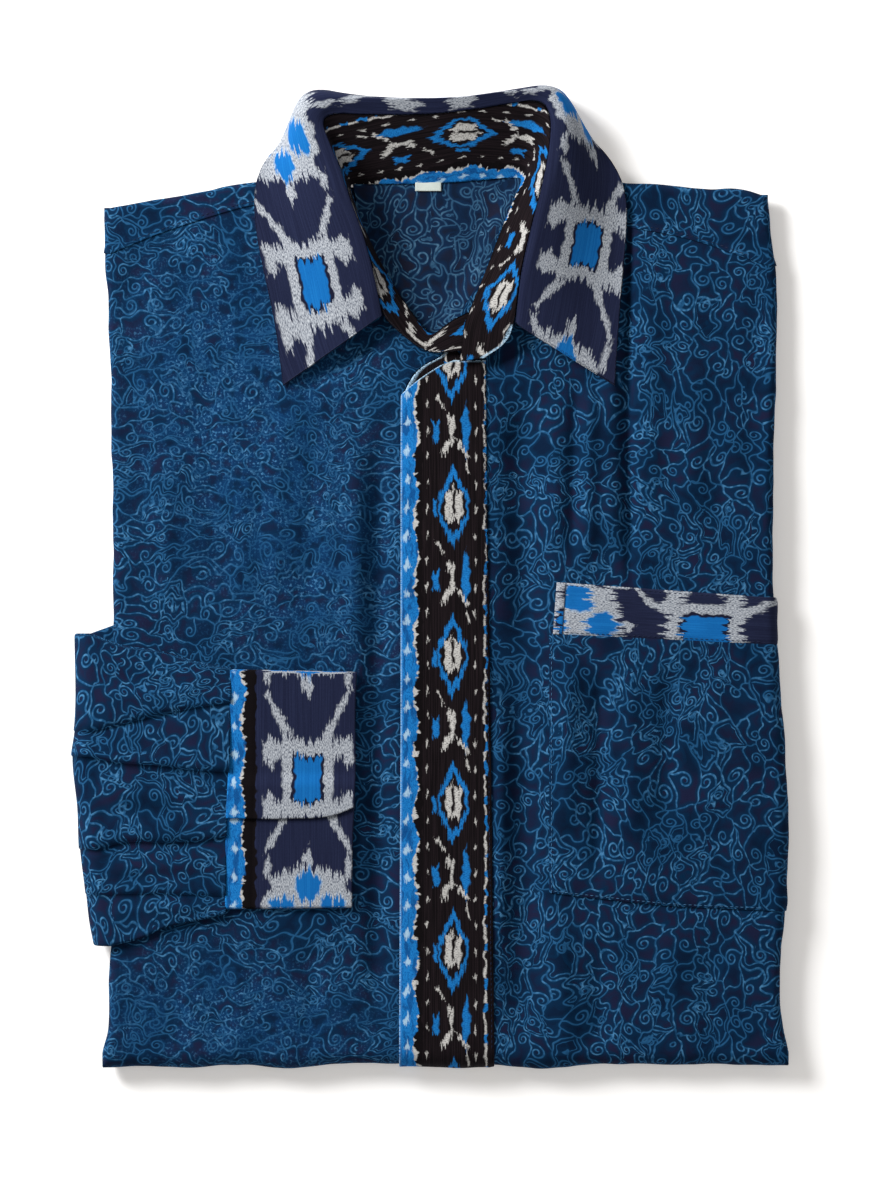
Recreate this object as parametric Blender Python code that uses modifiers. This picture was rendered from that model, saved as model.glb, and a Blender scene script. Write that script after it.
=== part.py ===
"""A long-sleeved batik shirt, folded flat, with ikat trims.

Lengths are in millimetres until a mesh is made. X runs across the shirt, Y up towards its
collar and Z up from the surface it lies on. The wearer's right is at -X. The tables' origin
is on the placket's line; CENTRE moves the finished meshes to the bottom centre of the whole.
"""
import bpy
import numpy as np

MM = 0.001
SHIRT = "batik_shirt"
CENTRE = np.array((0.24, 0.51, 0.0))

# Cloth and the room between pieces.
PANEL_WALL = 1.3
BAND_WALL = 1.1
TRIM_WALL = 1.2
POCKET_BAND_WALL = 1.4
SLEEVE_WALL = 2.6
SEAM_GAP = 0.4
LAYER_GAP = 0.45
CORE_GAP = 1.1
SETTLE_ROUNDS = 5
SHARP_ANGLE = np.radians(50)

# The folded body: how thick the stack is, and how much of that each fold's radius takes.
TAIL_HEIGHT = 14.0
SHOULDER_HEIGHT = 9.6
THINNING_Y = 10.0
THINNING = 185.0
HOLLOW_DEPTH = 0.35
HOLLOW_ACROSS = 31.0
HOLLOW_ALONG = 43.0
SIDE_FOLDS_X = (-155.0, 170.0)
END_FOLDS_Y = (-240.0, 195.0)
SIDE_SHARE = 0.32
TOP_SHARE = 0.34
TAIL_SHARE = 0.5
CORE_TURNS = np.radians((30, 60, 90, 120, 150))
SIDE_TURNS = np.radians((30, 60, 90, 120))
TAIL_TURNS = np.radians((30.4, 60.8, 91.2, 121.6, 152))
TOP_TURNS = np.radians((28.75, 57.5, 86.25, 115))
TRIM_TURNS = np.radians((30.5, 61, 91.5, 122))
POCKET_TURNS = np.radians((35.6, 72.4, 108))

# Outline of the folded body: each fold's outermost line.
LEFT_EDGE = {
    "y": (-237, -229, -210, -180, -25, 40, 90, 150, 185),
    "x": (-164.2, -161.8, -161, -160, -158.6, -159, -160, -162, -163)}
RIGHT_EDGE = {
    "y": (-237, -229, -160, -110, -85, -60, -5, 90, 137, 160, 178, 192),
    "x": (180, 177.8, 177.4, 177.4, 176.2, 174.2, 172, 173, 173.6, 172.2, 170, 168.2)}
TAIL_EDGE = {
    "x": (-164, -142, -120, -100, -70, -45, -16, 32, 52, 74, 122, 180),
    "y": (-245, -243.8, -244.4, -243, -244.8, -243, -242.8, -243.2, -244.8, -243.4, -242.8, -244)}
SHOULDER_EDGE = {
    "x": (-163, -126, -88, -40, 0, 48, 99, 140, 159, 168),
    "y": (185, 192, 198.4, 198.4, 198.4, 201, 198.2, 195.4, 194, 191)}

# Seams between each front and its yoke.
RIGHT_YOKE_SEAM = {
    "x": (-168, -136.5, -113, -89.5, -62, -38),
    "y": (160, 173, 181, 187.5, 190, 191)}
LEFT_YOKE_SEAM = {
    "x": (40, 75, 100, 122, 142, 153, 176),
    "y": (186, 181, 176.5, 172.5, 167, 163, 155)}

# Inner edges of the two fronts, from under the placket up round the neck.
NECKLINE = {
    "y": (92, 98, 104, 108, 111, 114, 118, 121, 127, 134, 145, 155, 165, 174, 185, 198),
    "right": (-13.8, -11, -6.8, -1.5, 4.5, 6.8, 3, 0.5, -5, -10, -17.5, -23, -28.5, -32.5, -36.5, -39.8),
    "left": (24, 24, 23, 20, 16.5, 14, 12.5, 12, 13, 16, 22.3, 27.6, 31.4, 34.7, 40, 47.4)}
NECK_BOWL_DEPTH = 3.6
NECK_BOWL_SLOPE = 12.0
NECK_APEX = 119.0
BACK_LAP = 5.5

# Placket: its two edges, and the curve of its top.
PLACKET = {
    "y": (-246, -75, 60, 92, 95, 99.5, 103.5, 107, 109.5),
    "left": (-15.5, -14.7, -14.7, -14.6, -11.5, -6, -0.4, 5.5, 12),
    "right": (32.3, 30.4, 28.4, 28, 28, 28, 28, 28, 28)}
BAND_TOP = 116.5
BAND_SINK = 0.15

# Breast pocket and the band across its mouth.
POCKET_LEFT = 59.6
POCKET_FOOT = {"x": (60, 90, 121, 150, 182), "y": (-157, -160.5, -163.6, -165, -166.5)}
POCKET_BAND_LEFT = {"y": (-28, -1), "x": (61.4, 63.4)}
POCKET_BAND_TOP = {"x": (63, 172), "y": (-1.6, -9.4)}
POCKET_BAND_FOOT = {"x": (61, 172), "y": (-27.6, -33)}

# Sleeve: lines that run from the side fold (0) to the cuff (1). Each pleat falls away below
# its line by its step.
SLEEVE_LINES = {
    "along": (0, 0.22, 0.5, 0.8, 1),
    "top": (-28.5, -34, -37, -43.2, -45.2),
    "pleat_1": (-75.5, -72, -67, -63, -61),
    "pleat_2": (-88, -91, -92.5, -95, -95.5),
    "pleat_3": (-134.5, -130.8, -131, -130, -128),
    "pleat_4": (-157, -156.6, -156.6, -157.3, -157.6),
    "foot": (-182, -179, -172.5, -169, -166)}
PLEAT_STEP = {"pleat_1": 1.3, "pleat_2": 2.0, "pleat_3": 1.6, "pleat_4": 1.0, "foot": 0.5}
PLEAT_FACE = 0.9
PLEAT_SHARES = (0, 0.35, 0.7, 1)
SLEEVE_FOLD = {"y": (-182, -172, -157, -135, -116, -88, -72, -28), "x": (
    -168.4, -170.4, -172.2, -175.2, -176.2, -179, -177.6, -178)}
SLEEVE_FLOOR = 0.4
SLEEVE_TUCK_X = -136.0
TUCK_SLANT = 0.36
SLEEVE_CLIMB = 0.2

# Cuff: a flattened ring of cloth whose lap shows on top.
CUFF_TOP = {"x": (-102, -36), "y": (-45, -46.4)}
CUFF_FOOT = {"x": (-103, -39), "y": (-165.2, -164.4)}
CUFF_SEAM_X = {"y": (-165, -119, -94, -45), "x": (-102.6, -102, -100.8, -100)}
CUFF_MOUTH_X = {"y": (-165, -133, -98, -64, -46), "x": (-39, -38.6, -37.2, -37.2, -36.4)}
CUFF_WALL = 1.3
CUFF_PITCH = 1.75
CUFF_LAP_END = {"x": (-102, -73, -47, -36), "y": (-119.6, -119.8, -117.4, -112.6)}
CUFF_LAP_ROOT = -104.0
CUFF_LAP_CLIMB = 8.0

# Collar: one row for each station, from the stand's tucked front end at the wearer's right,
# round the back, to its end on the placket. seam: where the stand leaves the body. top: where
# the leaf joins the stand. roll: how far the leaf goes on before it turns. outer: the leaf's
# outermost line. under: how far its free edge goes back beneath that line.
COLLAR_COLUMNS = ("seam_x", "seam_y", "seam_z", "top_x", "top_y", "top_z",
                  "roll", "outer_x", "outer_y", "under")
COLLAR = np.array((
    (19.0, 133.5, 13.2, 22.0, 115.0, 13.6, 0.0, 25.0, 96.0, 0.0),
    (9.0, 128.5, 13.2, 6.0, 113.0, 13.8, 0.0, 3.0, 96.0, 0.0),
    (0.5, 120.8, 13.2, -4.0, 114.5, 14.2, 0.0, -10.0, 104.0, 0.0),
    (-8.0, 132.0, 13.0, -15.5, 123.5, 16.4, 0.0, -26.0, 114.0, 0.0),
    (-14.5, 141.0, 12.8, -23.5, 132.0, 19.0, 1.6, -73.5, 96.5, 0.0),
    (-19.0, 149.0, 12.6, -26.0, 145.0, 20.5, 2.0, -77.5, 128.0, 0.0),
    (-24.5, 158.0, 12.2, -28.8, 157.0, 22.0, 2.2, -82.0, 148.0, 0.0),
    (-32.5, 174.5, 11.6, -34.0, 174.5, 24.0, 2.4, -86.5, 169.0, 0.0),
    (-38.5, 190.0, 11.3, -40.5, 191.5, 26.0, 2.6, -88.6, 189.5, 0.0),
    (-40.0, 196.6, 11.2, -45.0, 206.0, 26.0, 3.0, -86.0, 204.5, 1.0),
    (-38.5, 197.6, 9.4, -50.0, 218.0, 25.0, 3.4, -79.0, 218.2, 6.0),
    (-36.0, 197.6, 7.6, -52.5, 227.0, 23.4, 4.4, -67.4, 233.8, 14.0),
    (-30.0, 197.6, 6.8, -46.0, 231.2, 21.4, 7.0, -57.0, 243.2, 24.0),
    (-20.0, 197.6, 6.6, -30.0, 231.2, 20.6, 7.4, -33.0, 241.2, 27.0),
    (0.0, 197.8, 6.6, -3.0, 231.4, 20.4, 6.8, -3.5, 240.2, 27.0),
    (18.0, 199.0, 6.6, 18.0, 233.4, 20.6, 6.0, 18.5, 241.2, 27.0),
    (33.0, 200.4, 6.6, 38.0, 236.8, 21.0, 5.8, 39.0, 244.4, 27.0),
    (42.0, 201.0, 6.8, 53.0, 238.4, 22.2, 5.0, 59.5, 246.4, 24.0),
    (45.4, 200.4, 7.8, 59.5, 231.5, 24.0, 4.0, 72.0, 236.8, 14.0),
    (46.2, 199.6, 9.6, 60.0, 220.5, 25.2, 3.4, 83.6, 222.0, 6.0),
    (46.4, 198.0, 11.2, 58.0, 208.0, 26.0, 3.0, 94.0, 205.4, 1.0),
    (43.8, 191.0, 11.3, 55.0, 193.5, 26.0, 2.6, 99.0, 190.0, 0.0),
    (35.0, 173.5, 11.8, 50.0, 175.5, 24.2, 2.4, 98.0, 168.0, 0.0),
    (27.8, 154.0, 13.0, 45.0, 154.0, 21.8, 2.2, 95.5, 140.0, 0.0),
    (21.8, 139.5, 14.6, 43.4, 140.0, 20.0, 2.0, 94.0, 120.0, 0.0),
    (17.0, 128.0, 15.6, 42.0, 127.8, 18.4, 1.6, 92.5, 96.5, 0.0),
    (15.8, 117.0, 16.2, 38.5, 118.0, 17.4, 0.0, 60.0, 112.0, 0.0),
    (14.6, 108.6, 16.4, 27.0, 110.4, 16.8, 0.0, 40.0, 106.0, 0.0)))
LEAF_ROWS = slice(4, 26)
COLLAR_GAP = 0.6
LEAF_RISE = 0.3
# Leaf from its crest: shares of the way out and of the way down where it lies flat, levels
# as shares of the crest's where it hangs over the shoulders.
LEAF_FLAT = ((0.3, 0.2), (0.68, 0.8), (0.88, 0.97), (1, 1))
LEAF_HUNG = (0.78, 0.3)
LEAF_REST = 0.5
HANGING_REST = 0.6
TUCK_FULL = 14.0

# Woven tab at the back of the neck.
TAB_X = (-7.4, 5.6)
TAB_Y = (192.8, 197.2)
TAB_WALL = 0.7

COLOURS = {
    "batik": (0.012, 0.055, 0.13), "border_ikat": (0.03, 0.04, 0.06),
    "large_ikat": (0.06, 0.09, 0.17), "tab": (0.55, 0.58, 0.55)}
CLOTH_ROUGHNESS = 0.85


def smooth(step):
    """Ease from 0 to 1 with level ends."""
    step = np.clip(step, 0, 1)
    return step * step * (3 - 2 * step)


def line(table, at, key, value):
    """The value that a table gives at a place along its key, straight between rows."""
    return np.interp(at, table[key], table[value])


def body_height(x, y):
    """Top of the folded stack: thick at the tail, thin at the shoulders, with slow hollows."""
    fall = smooth((y - THINNING_Y) / THINNING)
    hollows = HOLLOW_DEPTH * np.sin(x / HOLLOW_ACROSS + 0.8) * np.sin(y / HOLLOW_ALONG - 0.4)
    return TAIL_HEIGHT + (SHOULDER_HEIGHT - TAIL_HEIGHT) * fall + hollows * (1 - 0.6 * fall)


def rolled(x, y, turn_x, turn_y, height, side_radius, end_radius):
    """A point of a sheet that turns round the body's folds.

    (x, y) is where the fold starts. The turn in radians is the larger of the two turns, and
    their shares point outwards, so the folds meet in square corners.
    """
    turn = np.maximum(np.abs(turn_x), np.abs(turn_y))
    divisor = np.where(turn > 0, turn, 1)
    share_x = turn_x / divisor
    share_y = turn_y / divisor
    weight = share_x ** 2 / np.maximum(share_x ** 2 + share_y ** 2, 1e-9)
    drop_radius = side_radius * weight + end_radius * (1 - weight)
    return np.stack((x + side_radius * np.sin(turn) * share_x,
                     y + end_radius * np.sin(turn) * share_y,
                     height - drop_radius * (1 - np.cos(turn))), axis=-1)


def on_body(x, y, turn_x, turn_y, lift):
    """A point at a height above the fronts' face, measured square to it all round the folds."""
    height = body_height(x, y)
    end_share = np.where(turn_y > 0, TOP_SHARE, TAIL_SHARE)
    return rolled(x, y, turn_x, turn_y, height + lift,
                  SIDE_SHARE * height + lift, end_share * height + lift)


def left_start(y):
    return line(LEFT_EDGE, y, "y", "x") + SIDE_SHARE * body_height(SIDE_FOLDS_X[0], y)


def right_start(y):
    return line(RIGHT_EDGE, y, "y", "x") - SIDE_SHARE * body_height(SIDE_FOLDS_X[1], y)


def tail_start(x):
    return line(TAIL_EDGE, x, "x", "y") + TAIL_SHARE * body_height(x, END_FOLDS_Y[0])


def shoulder_start(x):
    return line(SHOULDER_EDGE, x, "x", "y") - TOP_SHARE * body_height(x, END_FOLDS_Y[1])


def neck_right(y):
    return line(NECKLINE, y, "y", "right")


def neck_left(y):
    return line(NECKLINE, y, "y", "left")


def inside_neck(x, y):
    """How far inside the neckline a place is, less than 0 outside."""
    return np.minimum(np.minimum(x - neck_right(y), neck_left(y) - x), y - NECK_APEX)


def back_height(x, y):
    """Face of the back: just under the fronts at the neckline, lower inside it."""
    under_fronts = body_height(x, y) - PANEL_WALL - LAYER_GAP
    depth = NECK_BOWL_DEPTH - PANEL_WALL - LAYER_GAP
    return under_fronts - depth * smooth((inside_neck(x, y) + 1) / NECK_BOWL_SLOPE)


def stops(before, inside, after):
    """Grid lines across a sheet: turns round the fold before it, fractions, turns after it."""
    shares = [0.0] * len(before) + list(inside) + [1.0] * len(after)
    turns = list(before) + [0.0] * len(inside) + list(after)
    return np.array(shares), np.array(turns)


def spread(left, right, low, high, across, along):
    """Plan places of a grid between two side edges, functions of y, and two ends, of x."""
    share_x, share_y = np.meshgrid(across[0], along[0])
    turn_x, turn_y = np.meshgrid(across[1], along[1])
    x = np.zeros_like(share_x)
    for _ in range(SETTLE_ROUNDS):
        y = low(x) + (high(x) - low(x)) * share_y
        x = left(y) + (right(y) - left(y)) * share_x
    return x, y, turn_x, turn_y


def fractions(rows, low, high):
    """Rows at given places as fractions of the way from one end to the other."""
    return (np.array(rows) - low) / (high - low)


def grid_faces(rows, columns, offset=0):
    """Quads of a grid whose normals point up when rows run along Y and columns along X."""
    index = np.arange(rows * columns).reshape(rows, columns) + offset
    corners = (index[:-1, :-1], index[:-1, 1:], index[1:, 1:], index[1:, :-1])
    return np.stack([corner.ravel() for corner in corners], axis=1)


def border(rows, columns, offset=0):
    """Indices round a grid's edge, counter-clockwise from above."""
    index = np.arange(rows * columns).reshape(rows, columns) + offset
    return np.concatenate((index[0, :-1], index[:-1, -1], index[-1, :0:-1], index[:0:-1, 0]))


def join_rings(lower, upper):
    """Quads between two rings of the same length, facing away from their middle."""
    return np.stack((lower, np.roll(lower, -1), np.roll(upper, -1), upper), axis=1)


def add_object(name, points, faces, finish):
    mesh = bpy.data.meshes.new(name)
    mesh.from_pydata(((points - CENTRE) * MM).tolist(), [], faces)
    mesh.materials.append(MATERIALS[finish])
    mesh.shade_smooth()
    mesh.set_sharp_from_angle(angle=SHARP_ANGLE)
    piece = bpy.data.objects.new(name, mesh)
    COLLECTIONS[SHIRT].objects.link(piece)
    return piece


def add_wall(name, outer, inner, finish):
    """A wall between two grids of the same size: the face that shows, and the plain one."""
    rows, columns = outer.shape[:2]
    count = rows * columns
    points = np.concatenate((outer.reshape(-1, 3), inner.reshape(-1, 3)))
    faces = (grid_faces(rows, columns).tolist() + grid_faces(rows, columns, count)[:, ::-1].tolist()
             + join_rings(border(rows, columns, count), border(rows, columns)).tolist())
    return add_object(name, points, faces, finish)


def add_sheet(name, grid, wall, finish):
    """An open grid, given its wall on the side away from its normals."""
    rows, columns = grid.shape[:2]
    piece = add_object(name, grid.reshape(-1, 3), grid_faces(rows, columns).tolist(), finish)
    thicken = piece.modifiers.new("wall", "SOLIDIFY")
    thicken.thickness = wall * MM
    thicken.offset = -1
    return piece


def add_panel(name, places, lift, wall, finish):
    """A wall that lies on the body at a height above the fronts' face."""
    return add_wall(name, on_body(*places, lift), on_body(*places, lift - wall), finish)


def rounded(points, axis):
    """Cut the corners of a cage along one axis, a quarter from each end, keeping its ends."""
    points = np.moveaxis(points, axis, 0)
    near = 0.75 * points[:-1] + 0.25 * points[1:]
    far = 0.25 * points[:-1] + 0.75 * points[1:]
    inner = np.stack((near, far), axis=1).reshape(-1, *points.shape[1:])
    return np.moveaxis(np.concatenate((points[:1], inner, points[-1:])), 0, axis)


def core_point(x, y, turn_x, turn_y):
    """Face of the hidden layers: inside the panels, and lower under the neck opening."""
    height = body_height(x, y)
    inset = PANEL_WALL + CORE_GAP
    neck_margin = 24.0
    neck_slope = 12.0
    neck_drop = NECK_BOWL_DEPTH + 0.6
    neck_radius = 1.2
    neck = smooth((inside_neck(x, y) + neck_margin) / neck_slope)
    end_share = np.where(turn_y > 0, TOP_SHARE, TAIL_SHARE)
    end_radius = end_share * height - inset
    end_radius += (neck_radius - end_radius) * neck * (turn_y > 0)
    return rolled(x, y, turn_x, turn_y, height - inset - neck_drop * neck,
                  SIDE_SHARE * height - inset, end_radius)


def build_hidden_layers():
    """The folded sides, back, tail and other sleeve: a core with a second fold below the first."""
    columns = (0, 0.1, 0.22, 0.32, 0.37, 0.42, 0.47, 0.52, 0.57, 0.63, 0.74, 0.88, 1)
    rows = (0, 0.03, 0.12, 0.27, 0.42, 0.56, 0.68, 0.77, 0.82, 0.87, 0.92, 0.965, 1)
    across = stops(-CORE_TURNS[::-1], columns, CORE_TURNS)
    along = stops(-CORE_TURNS[::-1], rows, CORE_TURNS)
    x, y, turn_x, turn_y = spread(left_start, right_start, tail_start, shoulder_start, across, along)
    top = core_point(x, y, turn_x, turn_y)
    edge = border(*top.shape[:2])
    outward = np.stack((turn_x, turn_y), axis=-1).reshape(-1, 2)[edge] / CORE_TURNS[-1]
    groove_inset = 1.0
    groove_level = 0.92
    groove = top.reshape(-1, 3)[edge]
    groove[:, :2] -= groove_inset * outward
    groove[:, 2] *= groove_level
    lobe_share = 0.62
    lobe_start = 2.3
    lobe = lobe_share * np.maximum(groove[:, 2] - lobe_start, 0)
    rings = [groove]
    for angle in np.radians((40, 75, 110, 145, 180)):
        ring = groove.copy()
        ring[:, :2] += (lobe * np.sin(angle))[:, None] * outward
        ring[:, 2] = groove[:, 2] * (1 + np.cos(angle)) / 2
        rings.append(ring)
    points = [top.reshape(-1, 3)]
    faces = grid_faces(*top.shape[:2]).tolist()
    upper = edge
    for ring in rings:
        lower = np.arange(len(edge)) + sum(map(len, points))
        faces += join_rings(lower, upper).tolist()
        points.append(ring)
        upper = lower
    faces.append(upper[::-1].tolist())
    clear_sleeve(add_object("folded_layers", np.concatenate(points), faces, "batik"))


def clear_sleeve(core):
    """Take the sleeve's tucked end out of the hidden layers' underside."""
    room = 4.0
    roof = SLEEVE_FLOOR + SLEEVE_WALL + CORE_GAP
    low = np.array((-200.0, -190.0, -5.0))
    high = np.array((SLEEVE_TUCK_X + room, -12.0, roof))
    bpy.ops.mesh.primitive_cube_add(size=1, location=((low + high) / 2 - CENTRE) * MM)
    cutter = bpy.context.object
    cutter.name = "sleeve_room"
    cutter.scale = (high - low) * MM
    cutter.hide_render = True
    cutter.display_type = "WIRE"
    for collection in cutter.users_collection:
        collection.objects.unlink(cutter)
    COLLECTIONS["cutters"].objects.link(cutter)
    cut = core.modifiers.new("sleeve_room", "BOOLEAN")
    cut.operation = "DIFFERENCE"
    cut.object = cutter


def build_fronts():
    """Both fronts, from their wrapped side and tail folds to the yokes and the neckline."""
    across = stops(-SIDE_TURNS[::-1], (0, 0.14, 0.28, 0.43, 0.58, 0.72, 0.86, 1), ())
    along = stops(-TAIL_TURNS[::-1], neckline_rows(0, right_seam), ())
    places = spread(left_start, neck_right, tail_start, right_seam, across, along)
    add_panel("front_right", places, 0, PANEL_WALL, "batik")
    across = stops((), (0, 0.14, 0.28, 0.42, 0.57, 0.72, 0.86, 1), SIDE_TURNS)
    along = stops(-TAIL_TURNS[::-1], neckline_rows(20, left_seam), ())
    places = spread(neck_left, right_start, tail_start, left_seam, across, along)
    add_panel("front_left", places, 0, PANEL_WALL, "batik")


def neckline_rows(x, seam):
    """Rows of a front as fractions: even below the neck, then one at each neckline row."""
    seam_margin = 3
    even_rows = 12
    high = seam(x)
    rows = fractions([y for y in NECKLINE["y"] if y < high - seam_margin], tail_start(x), high)
    return *np.linspace(0, rows[0], even_rows, endpoint=False), *rows, 1


def right_seam(x):
    return line(RIGHT_YOKE_SEAM, x, "x", "y")


def left_seam(x):
    return line(LEFT_YOKE_SEAM, x, "x", "y")


def build_yokes():
    along = stops((), (0, 0.5, 1), TOP_TURNS)
    across = stops(-SIDE_TURNS[::-1], (0, 0.15, 0.3, 0.45, 0.6, 0.8, 1), ())
    places = spread(left_start, lambda y: neck_right(y) - SEAM_GAP,
                    lambda x: right_seam(x) + SEAM_GAP, shoulder_start, across, along)
    add_panel("yoke_right", places, 0, PANEL_WALL, "batik")
    across = stops((), (0, 0.2, 0.4, 0.55, 0.7, 0.85, 1), SIDE_TURNS)
    places = spread(lambda y: neck_left(y) + SEAM_GAP, right_start,
                    lambda x: left_seam(x) + SEAM_GAP, shoulder_start, across, along)
    add_panel("yoke_left", places, 0, PANEL_WALL, "batik")


def back_lap(y):
    """How far the back goes under the fronts: nothing beside the yokes' thin edges."""
    yoke_clearance = 0.9
    narrowing_y = 182.0
    narrowing = 8.0
    return BACK_LAP - (BACK_LAP + yoke_clearance) * smooth((y - narrowing_y) / narrowing)


def build_back():
    """The back's inside, which the neck opening shows."""
    top_margin = 1.3
    across = stops((), np.linspace(0, 1, 11), ())
    along = stops((), np.linspace(0, 1, 10), ())
    x, y, _, _ = spread(lambda y: neck_right(y) - back_lap(y), lambda y: neck_left(y) + back_lap(y),
                        lambda x: 0 * x + NECK_APEX - BACK_LAP,
                        lambda x: line(SHOULDER_EDGE, x, "x", "y") - top_margin, across, along)
    face = np.stack((x, y, back_height(x, y)), axis=-1)
    add_wall("back", face, face - (0, 0, PANEL_WALL), "batik")


def build_front_bands():
    """The button band between the fronts, and the placket that covers it."""
    low = tail_start(0)
    neck_rows = [y for y in NECKLINE["y"] if y < BAND_TOP] + [BAND_TOP]
    across = stops((), (0, 0.5, 1), ())
    along = stops(-TRIM_TURNS[::-1], (0, 0.23, 0.46, 0.7, *fractions(neck_rows, low, BAND_TOP)), ())
    places = spread(lambda y: neck_right(y) + SEAM_GAP, lambda y: neck_left(y) - SEAM_GAP,
                    tail_start, lambda x: 0 * x + BAND_TOP, across, along)
    add_panel("button_band", places, -BAND_SINK, BAND_WALL, "border_ikat")
    top = PLACKET["y"][-1]
    across = stops((), (0, 0.2, 0.5, 0.8, 1), ())
    along = stops(-TRIM_TURNS[::-1],
                  (0, 0.16, 0.32, 0.5, 0.67, 0.83, *fractions(PLACKET["y"][3:], low, top)), ())
    places = spread(lambda y: line(PLACKET, y, "y", "left"), lambda y: line(PLACKET, y, "y", "right"),
                    tail_start, lambda x: 0 * x + top, across, along)
    add_panel("placket", places, LAYER_GAP + TRIM_WALL, TRIM_WALL, "border_ikat")


def pocket_band_foot(x):
    return line(POCKET_BAND_FOOT, x, "x", "y")


def build_pocket():
    """The breast pocket and its band, on the left front and round the side fold."""
    across = stops((), (0, 0.2, 0.4, 0.6, 0.8, 1), POCKET_TURNS)
    along = stops((), np.linspace(0, 1, 10), ())
    places = spread(lambda y: 0 * y + POCKET_LEFT, right_start, lambda x: line(POCKET_FOOT, x, "x", "y"),
                    lambda x: pocket_band_foot(x) - SEAM_GAP, across, along)
    add_panel("pocket", places, LAYER_GAP + BAND_WALL, BAND_WALL, "batik")
    along = stops((), (0, 0.5, 1), ())
    places = spread(lambda y: line(POCKET_BAND_LEFT, y, "y", "x"), right_start, pocket_band_foot,
                    lambda x: line(POCKET_BAND_TOP, x, "x", "y"), across, along)
    add_panel("pocket_band", places, LAYER_GAP + POCKET_BAND_WALL, POCKET_BAND_WALL, "large_ikat")


def sleeve_rows():
    """For each row across the sleeve: the line above it, the one below, and its share between."""
    names = [name for name in SLEEVE_LINES if name != "along"]
    return [(above, below, share) for above, below in zip(names[:-1], names[1:])
            for share in PLEAT_SHARES]


def pleat_rise():
    """How far each row of the sleeve stands above the lowest, as a column."""
    curve = 1.3
    return np.array([[PLEAT_STEP[below] * share ** curve] for _, below, share in sleeve_rows()])


def sleeve_y(along):
    """Y of each sleeve row at a place along the sleeve, with room for each pleat's face."""
    result = []
    for above, below, share in sleeve_rows():
        start = line(SLEEVE_LINES, along, "along", above) - PLEAT_FACE * (above != "top")
        result.append(start + (line(SLEEVE_LINES, along, "along", below) - start) * share)
    return np.array(result)[:, None]


def sleeve_face(lift, rise):
    """The sleeve from its tucked end, round the side fold and on to the cuff."""
    fold_y = sleeve_y(0)
    roof = body_height(SIDE_FOLDS_X[0], fold_y) + LAYER_GAP + SLEEVE_WALL
    radius = (roof - SLEEVE_FLOOR) / 2
    centre_x = line(SLEEVE_FOLD, fold_y, "y", "x") + radius
    parts = []
    for share in (0, 0.35, 0.7):
        x = SLEEVE_TUCK_X + (centre_x - SLEEVE_TUCK_X) * share
        y = fold_y + TUCK_SLANT * (x - centre_x)
        parts.append(np.stack((x, y, 0 * x + SLEEVE_FLOOR - lift), axis=-1))
    for angle in np.radians((0, 30, 60, 90, 120, 150)):
        grown = radius + lift + rise * np.sin(angle / 2) ** 4
        parts.append(np.stack((centre_x - grown * np.sin(angle), fold_y,
                               SLEEVE_FLOOR + radius - grown * np.cos(angle)), axis=-1))
    for along in (0, 0.1, 0.22, 0.36, 0.5, 0.65, 0.8, 0.92, 1):
        y = sleeve_y(along)
        cuff_x = line(CUFF_SEAM_X, y, "y", "x") - SEAM_GAP
        x = centre_x + (cuff_x - centre_x) * along
        height = body_height(x, y) + LAYER_GAP + SLEEVE_WALL
        height = roof + (height - roof) * smooth(along / SLEEVE_CLIMB)
        parts.append(np.stack((x, y, height + lift + rise), axis=-1))
    return np.concatenate(parts, axis=1)


def build_sleeve():
    """The sleeve: two flattened layers as one wall, pleated above and plain beneath."""
    outer = sleeve_face(0, pleat_rise())
    inner = sleeve_face(-SLEEVE_WALL, 0)
    add_wall("sleeve", outer[::-1], inner[::-1], "batik")


def build_cuff():
    """The cuff: one strip from under its lap, round the foot, back beneath and over itself."""
    fold = CUFF_PITCH / 2
    half = CUFF_WALL / 2
    corner = np.radians((45, 90, 135))
    middle_x = np.mean((CUFF_SEAM_X["x"][0], CUFF_MOUTH_X["x"][0]))
    span = CUFF_MOUTH_X["x"][0] - CUFF_SEAM_X["x"][0]
    sections = []
    for share in (0, 0.2, 0.4, 0.6, 0.8, 1):
        near_x = middle_x + span * (share - 0.5)
        top = line(CUFF_TOP, near_x, "x", "y") - half - fold
        foot = line(CUFF_FOOT, near_x, "x", "y") + half + fold
        lap = line(CUFF_LAP_END, near_x, "x", "y")
        path = [(y, half + CUFF_PITCH) for y in np.linspace(CUFF_LAP_ROOT, foot, 5)]
        path += [(foot - fold * np.sin(angle), half + fold + fold * np.cos(angle)) for angle in corner]
        path += [(y, half) for y in np.linspace(foot, top, 6)]
        path += [(top + fold * np.sin(angle), half + fold - fold * np.cos(angle)) for angle in corner]
        climb_start = CUFF_LAP_ROOT + CUFF_LAP_CLIMB
        upper = (*np.linspace(top, climb_start, 4), *np.linspace(climb_start - 4, lap, 5))
        climb = smooth((climb_start - np.array(upper)) / CUFF_LAP_CLIMB)
        path += [(y, half + CUFF_PITCH * (1 + rise)) for y, rise in zip(upper, climb)]
        y, level = np.array(path).T
        start = line(CUFF_SEAM_X, y, "y", "x")
        x = start + (line(CUFF_MOUTH_X, y, "y", "x") - start) * share
        sections.append(np.stack((x, y, body_height(x, y) + LAYER_GAP + level), axis=-1))
    cuff = add_sheet("cuff", np.stack(sections, axis=1), CUFF_WALL, "large_ikat")
    cuff.modifiers["wall"].offset = 0


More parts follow.
